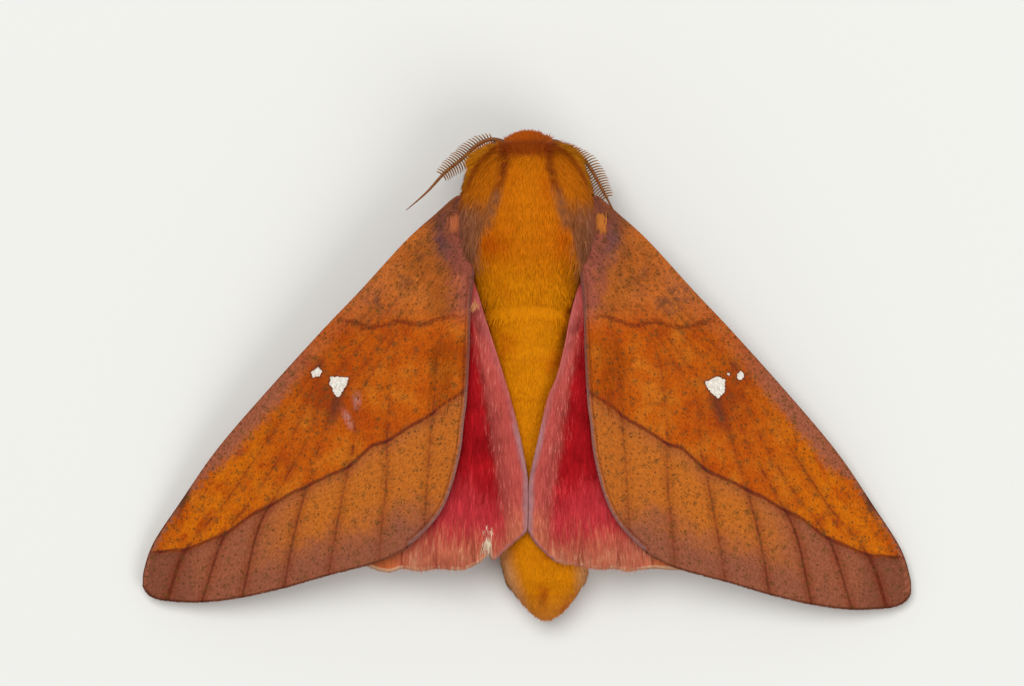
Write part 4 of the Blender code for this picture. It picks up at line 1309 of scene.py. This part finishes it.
def growWingHair(wing, material, seed):
    settings = wingHair[wing["slot"]]
    random = np.random.default_rng(seed)
    share = random.uniform(0.01, 0.99, (settings["roots"] * 6, 2))
    plan = patchPlaces(*wing["edges"], share[:, 0], share[:, 1])
    marks = wingMarks(plan, wing)
    wanted = hairRegion(wing, plan, marks)
    wanted = np.flatnonzero(wanted > random.uniform(0, 1, len(wanted)))[: settings["roots"]]
    share, plan = share[wanted], plan[wanted]
    marks = {key: values[wanted] for key, values in marks.items()}
    places, normals = surfaceNormals(wing, plan, marks)
    further = patchPlaces(*wing["edges"], np.minimum(share[:, 0] + 0.02, 1), share[:, 1]) - plan
    room = np.minimum(1, 0.08 + edgeNearness(wing, marks) / settings["length"])
    if "innerLine" in marks:
        # short enough beside the inner line to leave it clear
        room *= 1 - 0.75 * smoothStep(1.5, 0.4, np.abs(marks["innerLine"]))
    marks["under"] = 0.0
    hair = growTufts(f"hair_{wing['slot']}_{wing['side']}",
                     places + normals * wing["thickness"] / 2, normals, onWing(wing, further),
                     settings["length"] * room, settings["width"], settings["rise"],
                     settings["fall"], inMargin(share), material, seed, sink=0.1, marks=marks,
                     soft=0.8, swing=0.1)
    settle(hair, wing["slot"])


def growFringe(wing, material, seed):
    settings = wingHair["fringe"]
    random = np.random.default_rng(seed)
    run = np.sort(random.uniform(0.005, 0.995, settings["roots"]))
    edge = smoothLine(wing["edges"][1], 0.1)
    plan = pointAlong(edge, run)
    ahead = pointAlong(edge, np.minimum(run + 0.004, 1)) - pointAlong(edge, run - 0.004)
    out = np.stack([ahead[:, 1], -ahead[:, 0]], axis=1)
    out /= np.linalg.norm(out, axis=1)[:, None]
    out *= -np.sign((out * (np.mean(plan, axis=0) - plan)).sum(axis=1).mean())
    marks = wingMarks(plan, wing)
    marks["outerEdge"], marks["under"] = 0.1, 0.0
    places, normals = surfaceNormals(wing, plan - out * settings["inside"], marks)
    spots = np.stack([inMargin(run), np.full(len(run), 0.5)], axis=1)
    fringe = growTufts(f"fringe_{wing['slot']}_{wing['side']}", places, normals,
                       onWing(wing, out), settings["length"][wing["slot"]], settings["width"],
                       settings["rise"], settings["fall"], spots, material, seed, sink=0.0,
                       marks=marks, soft=0.15, swing=0.2)
    settle(fringe, wing["slot"])


wingColours = {
    "middle": tint(190, 88, 6),
    "middleLight": tint(200, 108, 22),
    "middleDeep": tint(176, 72, 4),
    "base": tint(202, 114, 48),
    "basePink": tint(168, 90, 78),
    "basePurple": tint(122, 78, 84),
    "baseDark": tint(112, 64, 52),
    "outer": tint(192, 106, 34),
    "margin": tint(150, 86, 62),
    "apex": tint(128, 72, 52),
    "wedge": tint(206, 108, 4),
    "front": tint(158, 92, 68),
    "cloud": tint(112, 66, 50),
    "blush": tint(138, 44, 8),
    "line": tint(98, 36, 24),
    "innerLine": tint(112, 38, 14),
    "vein": tint(124, 56, 30),
    "veinInside": tint(126, 46, 18),
    "veinDark": tint(78, 34, 24),
    "speck": tint(84, 56, 24),
    "dust": tint(104, 72, 30),
    "innerEdge": tint(134, 94, 92),
    "innerDark": tint(114, 70, 64),
    "outerEdge": tint(86, 44, 28),
    "spot": tint(240, 236, 226),
    "rim": tint(88, 50, 36),
    "smear": tint(190, 132, 124),
    "under": tint(190, 116, 68),
    "underPink": tint(176, 84, 74),
}


def specks(paint, size, radius, softness):
    # one small mark in each cell of a loose net over the wing, and a chance for each
    settings = {"feature": "F1", "voronoi_dimensions": "2D"}
    place = paint.millimetres()
    ragged = paint.noise(place, 5.0, 2.0, output="Color")
    moved = paint.node("ShaderNodeVectorMath", {"operation": "MULTIPLY_ADD"}, _0=ragged,
                       _1=(0.16, 0.16, 0.0), _2=place)
    far = paint.node("ShaderNodeTexVoronoi", settings, output="Distance", Vector=moved,
                     Scale=1 / size, Randomness=1.0)
    pick = paint.node("ShaderNodeTexVoronoi", settings, output="Color", Vector=moved,
                      Scale=1 / size, Randomness=1.0)
    chance, stretch = paint.split(pick)[:2]
    reach = radius / size * (0.5 + stretch)
    return 1 - paint.ramp(far, reach, reach + softness / size), chance


def forewingPaint(side):
    paint = Paint(f"forewing_{side}_scales")
    ramp, bump, noise, mix, cover = paint.brushes()
    c = wingColours
    place = paint.millimetres()
    x, y = paint.attribute("planX"), paint.attribute("planY")
    front, outer = abs(paint.attribute("frontEdge")), abs(paint.attribute("outerEdge"))
    inner = abs(paint.attribute("innerEdge"))
    vein, gap = paint.attribute("vein"), paint.attribute("gap")
    wobble = noise(place, 0.8, 3.0) - 0.5
    fine = noise(place, 3.5, 3.0) - 0.5
    # the outer line bends a little towards the base between two veins
    scallop = abs(vein - paint.maths("ROUND", vein))
    beyond = paint.attribute("outerLine") + 0.16 * fine + 0.22 * (scallop - 0.25)
    # out from the base and across, for streaks that run with the veins
    run = 0.5 * x + 0.87 * y
    flow = paint.node("ShaderNodeCombineXYZ", _0=vein * 3.2, _1=run * 0.4, _2=wobble)
    streak = noise(flow, 1.0, 3.0, 0.6) - 0.5
    # the middle of the wing, lighter in patches
    patches = noise(place, 0.4, 4.0, 0.6) + 0.22 * streak
    paint.colour = mix(ramp(patches, 0.48, 0.7), c["middle"], c["middleLight"])
    cover(1 - ramp(patches, 0.3, 0.5), c["middleDeep"])
    # the base, with its pink and purple inner part
    towardsBase = ramp(-y + wobble * 1.5, 3.0, 6.2)
    cover(towardsBase * 0.7, c["base"])
    cloudy = ramp(noise(place, 0.8, 4.0, 0.6), 0.46, 0.66)
    cloudy = cloudy * bump(front, 2.2, 2.6) * ramp(-y, 2.6, 5.0)
    cover(cloudy * 0.45, c["cloud"])
    pink = ramp(-y + wobble, 3.2, 5.8) * (1 - ramp(x + wobble * 1.6, 4.5, 6.0))
    cover(pink * 0.85, c["basePink"])
    purple = bump(y + wobble, -10.9, 2.5) * bump(x + 0.3 * (y + 11.0) + wobble, 5.85, 1.15)
    cover(purple * ramp(fine + wobble, -0.5, -0.1), c["basePurple"])
    dark = ramp(-y + wobble, 10.4, 12.0) * (1 - ramp(front + wobble, 0.6, 1.6))
    cover(dark * 0.7, c["baseDark"])
    cloud = bump(x + wobble, 11.2, 2.2) * bump(y + 0.4 * (x - 11.2) + wobble, -5.9, 1.7)
    cloud = cloud * ramp(noise(place, 2.2, 4.0, 0.65), 0.38, 0.6)
    cover(cloud * 0.8, c["cloud"])
    # the deep red shade round the white spots, trailing outwards along the veins
    blush = bump((x - 14.9) * 0.62 + wobble + 0.5 * streak, 0.0, 1.7)
    blush = blush * bump(y + 1.4 * wobble, 1.5, 3.2)
    cover(blush * 0.72, c["blush"])
    trail = x - 14.1 - 0.28 * (y - 1.5) + 0.5 * wobble
    core = bump(trail, 0.0, 0.75) * bump(y + fine, 2.3, 2.2)
    cover(core * 0.75, c["rim"])
    above = bump(x + 0.5 * fine, 15.5, 0.5) * bump(y + 0.5 * fine, -0.9, 0.8)
    cover(above * 0.6, c["rim"])
    # beyond the outer line, pinker to the apex and margin
    far = ramp(beyond, 0.0, 0.2)
    toMargin = 1 - ramp(outer + 2.6 * wobble + 1.2 * streak, 0.9, 4.4)
    toApex = ramp(x + 3.0 * wobble + 2.0 * streak, 15.5, 22.0)
    nearLine = 1 - ramp(beyond + 0.8 * wobble, 0.3, 1.3)
    outerTint = mix(paint.higher(toMargin, toApex * 0.9), c["outer"], c["margin"])
    outerTint = mix(nearLine * 0.25, outerTint, c["margin"])
    outerTint = mix(ramp(x + wobble, 24.3, 26.2) * 0.8, outerTint, c["apex"])
    cover(far, outerTint)
    # the bright wedge inside the line at the apex
    wedge = ramp(x + wobble, 17.0, 22.5) * (1 - far) * ramp(front, 0.5, 1.6)
    cover(wedge * ramp(streak + wobble, -0.3, 0.1), c["wedge"])
    # the front edge, clearest in the outer half and narrowing to the apex
    breadth = 1.35 - 1.0 * ramp(x, 22.0, 25.0)
    band = 1 - ramp(front + 1.3 * fine + 0.5 * wobble, breadth * 0.55, breadth * 1.25)
    band = band * (0.2 + 0.7 * ramp(x + wobble, 14.5, 19.0)) * ramp(y + 0.3 * x, -8.0, -3.0)
    cover(band, c["front"])
    maroon = bump(x - 25.8, 0.0, 0.8) * (1 - ramp(front + 0.6 * fine, 0.2, 0.7))
    cover(maroon * 0.8, c["outerEdge"])
    # veins, darkest towards the apex and broken inside the line
    toVein = scallop * gap + 0.07 * fine
    outside = ramp(beyond, -0.5, 0.4)
    broken = ramp(noise(place, 0.7, 3.0), 0.4, 0.6)
    toTip = ramp(x, 11.5, 22.0)
    toLine = ramp(beyond, -6.0, -0.5)
    strong = (0.12 + (0.25 + 0.3 * toLine) * broken) * (1 - outside)
    strong = strong + (0.35 + 0.35 * toTip + 0.25 * broken) * outside
    strong = strong * ramp(vein, 0.35, 0.7) * ramp(y + 0.3 * x, -6.0, 1.0)
    heavy = bump(vein, 1.0, 0.3) * outside
    mask = (1 - ramp(toVein, 0.02 + 0.06 * heavy, 0.15 + 0.08 * heavy)) * strong
    veinTint = mix(outside, c["veinInside"], mix(toTip, c["vein"], c["veinDark"]))
    cover(mask, veinTint)
    broad = (1 - ramp(toVein, 0.1, 0.75)) * strong * 0.5
    cover(broad, c["veinInside"])
    # the two cross lines, darkest where they meet a vein
    knot = 0.72 + 0.28 * (1 - ramp(scallop * gap, 0.0, 0.5))
    outerBand = (1 - ramp(abs(beyond), 0.06, 0.19)) * knot
    cover(outerBand, c["line"])
    cover(bump(beyond, 0.1, 0.55) * 0.25, c["line"])
    innerLine = paint.attribute("innerLine") + 0.4 * fine + 0.12 * wobble
    innerBand = (1 - ramp(abs(innerLine), 0.03, 0.3)) * ramp(x + wobble, 4.2, 5.8)
    innerBand = innerBand * (0.45 + 0.55 * ramp(noise(place, 5.0, 3.0, 0.7), 0.38, 0.6))
    innerBand = innerBand * (1 - ramp(x, 13.2, 14.6))
    cover(innerBand * 0.85, c["innerLine"])
    # dusty clusters and small dark specks, thickest along the veins and the front edge
    crowd = 0.3 * (1 - ramp(toVein, 0.0, 0.45)) + 0.3 * (1 - ramp(front, 0.8, 2.0))
    crowd = crowd + 0.35 * bump(front, 1.0, 0.7) * ramp(x, 14.0, 17.0)
    crowd = crowd + 0.5 * innerBand + noise(place, 0.6, 3.0) * 0.8
    cluster, chance = specks(paint, 0.95, 0.12, 0.2)
    dusty = cluster * ramp(noise(place, 7.0, 3.0, 0.7), 0.44, 0.6)
    cover(dusty * ramp(chance + crowd, 0.65, 0.9) * 0.8, c["dust"])
    dot, chance = specks(paint, 0.62, 0.03, 0.09)
    cover(dot * ramp(chance + crowd, 0.6, 0.85) * 0.62, c["speck"])
    tiny, chance = specks(paint, 0.3, 0.016, 0.06)
    cover(tiny * ramp(chance + crowd, 0.8, 1.05) * 0.55, c["speck"])
    # the edges, with a thin painted shadow along the outer edge
    innerBandEdge = 1 - ramp(inner + 0.1 * fine, 0.12, 0.3)
    edgeTint = mix(ramp(y, -1.5, 2.5), c["innerDark"], c["innerEdge"])
    cover(innerBandEdge * 0.85, edgeTint)
    cover(bump(inner, 0.36, 0.14) * 0.5, c["line"])
    # painted shadow: a thin dark line along the outer edge and, near the apex, along the front
    # edge
    rim = 1 - ramp(paint.lower(outer, front + 3.0 - 3.0 * ramp(x, 23.5, 25.5)), 0.02, 0.12)
    cover(rim * 0.6, c["outerEdge"])
    # the white spots
    addSpots(paint, x, y, fine, side)
    # the underside, paler and pinker, with the outer line showing through
    below = mix(ramp(wobble + 0.06 * x, 0.2, 1.6), c["underPink"], c["under"])
    below = mix(far * 0.4, below, c["margin"])
    below = mix(outerBand * 0.5, below, c["line"])
    below = mix(mask * 0.6, below, c["vein"])
    cover(paint.attribute("under"), below)
    # the grain of the scales, running out along the wing
    grainFlow = paint.node("ShaderNodeCombineXYZ", _0=(0.87 * x - 0.5 * y) * 8.0, _1=run * 3.0,
                           _2=fine)
    grain = noise(grainFlow, 1.0, 3.0, 0.7)
    shade = mix(ramp(grain, 0.3, 0.7), tint(206, 198, 190), tint(255, 255, 255))
    colour = mix(0.9, paint.colour, shade, "MULTIPLY")
    colour = strandShade(paint, colour, 0.88, 1.02)
    relief = grain * 0.6 + (1 - ramp(toVein, 0.0, 0.2)) * 0.8
    return paint.finish(colour, relief, 0.4, 0.06 * mm, 0.7)


# The white spots of each forewing, as corners in plan.
whiteSpots = {
    "left": [
        [(14.72, 0.02), (14.0, 0.0), (13.34, 0.12), (13.42, 0.5), (14.06, 1.56), (14.3, 1.52),
         (14.78, 0.6)],
        [(16.2, -0.32), (15.62, -0.72), (15.34, -0.4), (15.5, -0.02), (16.05, 0.06)],
    ],
    "right": [
        [(13.29, 0.34), (14.18, -0.14), (14.8, 0.12), (14.82, 1.0), (14.26, 1.55), (13.56, 0.9)],
        [(16.25, -0.3), (16.0, -0.5), (15.7, -0.25), (15.72, 0.1), (16.0, 0.2), (16.26, 0.0)],
        [(15.27, -0.3), (15.12, -0.42), (15.0, -0.27), (15.14, -0.13)],
    ],
}


def spotDistance(paint, x, y, corners):
    # below 0 inside the corners, in millimetres
    corners = np.array(corners)
    middle = corners.mean(axis=0)
    found = None
    rounding = 0.12
    for start, end in zip(corners, np.roll(corners, -1, axis=0)):
        out = np.array([end[1] - start[1], start[0] - end[0]])
        out /= np.linalg.norm(out)
        out *= np.sign(out @ (start - middle))
        side = x * float(out[0]) + y * float(out[1]) - float(out @ start)
        found = side if found is None else paint.maths("SMOOTH_MAX", found, side, rounding)
    return found


def addSpots(paint, x, y, fine, side):
    ramp, bump, noise, mix, cover = paint.brushes()
    c = wingColours
    spots = None
    for corners in whiteSpots[side]:
        one = spotDistance(paint, x, y, corners)
        spots = one if spots is None else paint.lower(spots, one)
    spots = spots + 0.09 * fine + 0.32 * (noise(paint.millimetres(), 4.5, 3.0, 0.6) - 0.5)
    cover((1 - ramp(spots, 0.02, 0.16)) * 0.6, c["rim"])
    grain = noise(paint.millimetres(), 7.0, 2.0)
    white = mix(ramp(grain, 0.35, 0.65), tint(230, 225, 214), c["spot"])
    cover(1 - ramp(spots, -0.05, 0.01), white)
    if side == "left":
        smear = bump(x - 12.75, 0.0, 0.5) * bump(y - 1.8, 0.0, 0.95)
        lower = bump(x + 0.4 * (y - 3.2) - 13.4, 0.0, 0.5) * bump(y - 3.2, 0.0, 1.1)
        smear = paint.higher(smear, lower) * ramp(fine, -0.2, 0.12)
        cover(smear * 0.9, c["smear"])


hindColours = {
    "centre": tint(184, 20, 28),
    "centreDeep": tint(160, 12, 20),
    "rose": tint(202, 56, 62),
    "pink": tint(184, 78, 70),
    "upper": tint(206, 92, 84),
    "strokeAndHighlight": tint(232, 144, 128),
    "salmon": tint(200, 108, 80),
    "pale": tint(220, 158, 120),
    "innerEdge": tint(164, 114, 116),
    "vein": tint(134, 40, 30),
    "fringe": tint(222, 184, 148),
    "worn": tint(232, 218, 186),
    "hidden": tint(196, 102, 58),
    "under": tint(198, 108, 86),
}


def hindwingPaint(side):
    paint = Paint(f"hindwing_{side}_scales")
    ramp, bump, noise, mix, cover = paint.brushes()
    c = hindColours
    place = paint.millimetres()
    x, y = paint.attribute("planX"), paint.attribute("planY")
    outer, inner = abs(paint.attribute("outerEdge")), abs(paint.attribute("innerEdge"))
    vein, gap = paint.attribute("vein"), paint.attribute("gap")
    ridge = paint.attribute("ridge")
    wobble = noise(place, 0.9, 3.0) - 0.5
    flow = paint.node("ShaderNodeCombineXYZ", _0=vein * 14.0, _1=y * 0.5, _2=wobble)
    streak = noise(flow, 1.0, 4.0, 0.6) - 0.5
    fine = noise(paint.millimetres((9.0, 1.2, 2.0)), 1.0, 3.0, 0.6) - 0.5
    fromRidge = ridge + 0.4 * streak + 0.3 * wobble
    deep = ramp(noise(place, 0.5, 2.0), 0.4, 0.7)
    paint.colour = mix(deep, c["centre"], c["centreDeep"])
    down = y + 2.0 * streak + 1.2 * wobble
    cover(ramp(down + 0.5 * (x - 3.0), 6.5, 10.0), c["rose"])
    cover(ramp(down, 10.2, 12.4), c["salmon"])
    pale = ramp(down, 11.8, 13.4) * ramp(streak + wobble, -0.05, 0.25)
    cover(pale * 0.7, c["pale"])
    cover(ramp(x + wobble * 2.0, 8.5, 10.5), c["hidden"])
    # the folded inner part: pink, palest at the top, with pale strokes along its ridge, partly
    # pale scales and partly a painted highlight on the fold
    innerTint = mix(ramp(down, 8.5, 12.0), c["pink"], c["salmon"])
    innerTint = mix(1 - ramp(down, -3.0, 3.0), innerTint, c["upper"])
    cover(ramp(fromRidge, -0.3, 0.4), innerTint)
    # pale scales and a painted highlight along the fold
    strokesAndHighlight = ramp(fine + 0.5 * streak, 0.06, 0.24) * bump(fromRidge, 0.35, 1.1)
    cover(strokesAndHighlight * 0.6, c["strokeAndHighlight"])
    edge = 1 - ramp(inner + 0.3 * wobble + 0.4 * streak, 0.16, 0.56)
    cover(edge * (0.25 + 0.7 * ramp(y, 1.5, 5.0)), c["innerEdge"])
    toVein = abs(vein - paint.maths("ROUND", vein)) * gap
    mask = (1 - ramp(toVein, 0.03, 0.16)) * (1 - ramp(outer, 1.4, 4.0))
    mask = mask * (1 - ramp(vein, 4.3, 4.6))
    cover(mask * 0.6, c["vein"])
    fringe = 1 - ramp(outer + 0.2 * fine, 0.08, 0.2)
    fringeTint = mix(ramp(x, 1.8, 3.4), c["innerEdge"], c["fringe"])
    cover(fringe * 0.7, fringeTint)
    if side == "left":
        worn = bump(x + 0.5 * fine, 2.95, 0.55) * bump(y + 0.7 * fine, 11.7, 0.85)
        cover(ramp(worn, 0.1, 0.5), c["worn"])
    below = mix(fringe, c["under"], c["fringe"])
    cover(paint.attribute("under"), below)
    shade = mix(ramp(fine, -0.22, 0.22), tint(218, 210, 208), tint(255, 255, 255))
    colour = mix(0.9, paint.colour, shade, "MULTIPLY")
    colour = strandShade(paint, colour, 0.9, 1.04)
    return paint.finish(colour, fine, 0.4, 0.06 * mm, 0.7)


print("making the wings")
for index, side in enumerate(sides):
    for number, (wing, material) in enumerate((
        (foreWing(side), forewingPaint(side)), (hindWing(side), hindwingPaint(side)),
    )):
        seed = 500 + 10 * index + number
        makeWing(wing, material)
        growWingHair(wing, material, seed)
        growFringe(wing, material, seed + 50)
print("wings done")


# Floor and light.
studio = {
    "floorSize": 3.0, "floor": tint(226, 226, 222), "world": 0.44,
    # place, size and power
    "lights": {"key": ((0.12, -0.25, 0.75), 0.5, 3.8), "fill": ((-0.35, 0.35, 0.55), 0.5, 1.7)},
}


def addFloor():
    floor = addPrimitive(bpy.ops.mesh.primitive_plane_add, "floor", size=studio["floorSize"],
                         location=(0, 0, 0))
    paint = Paint("pale_floor")
    floor.data.materials.append(paint.finish(studio["floor"], None, 0, 0, 0.8))


def addLight(name, place, size, power):
    data = bpy.data.lights.new(name, "AREA")
    data.shape = "DISK"
    data.size, data.energy = size, power
    light = bpy.data.objects.new(name, data)
    light.location = place
    bpy.context.scene.collection.objects.link(light)
    light.rotation_mode = "QUATERNION"
    light.rotation_quaternion = (-light.location).to_track_quat("-Z", "Y")


addFloor()
for name, light in studio["lights"].items():
    addLight(name, *light)
world = bpy.data.worlds.new("studio")
world.use_nodes = True
glow = world.node_tree.nodes["Background"]
glow.inputs[0].default_value, glow.inputs[1].default_value = (1, 1, 1, 1), studio["world"]
bpy.context.scene.world = world
bpy.context.scene.view_settings.view_transform = "Standard"

print("finished")
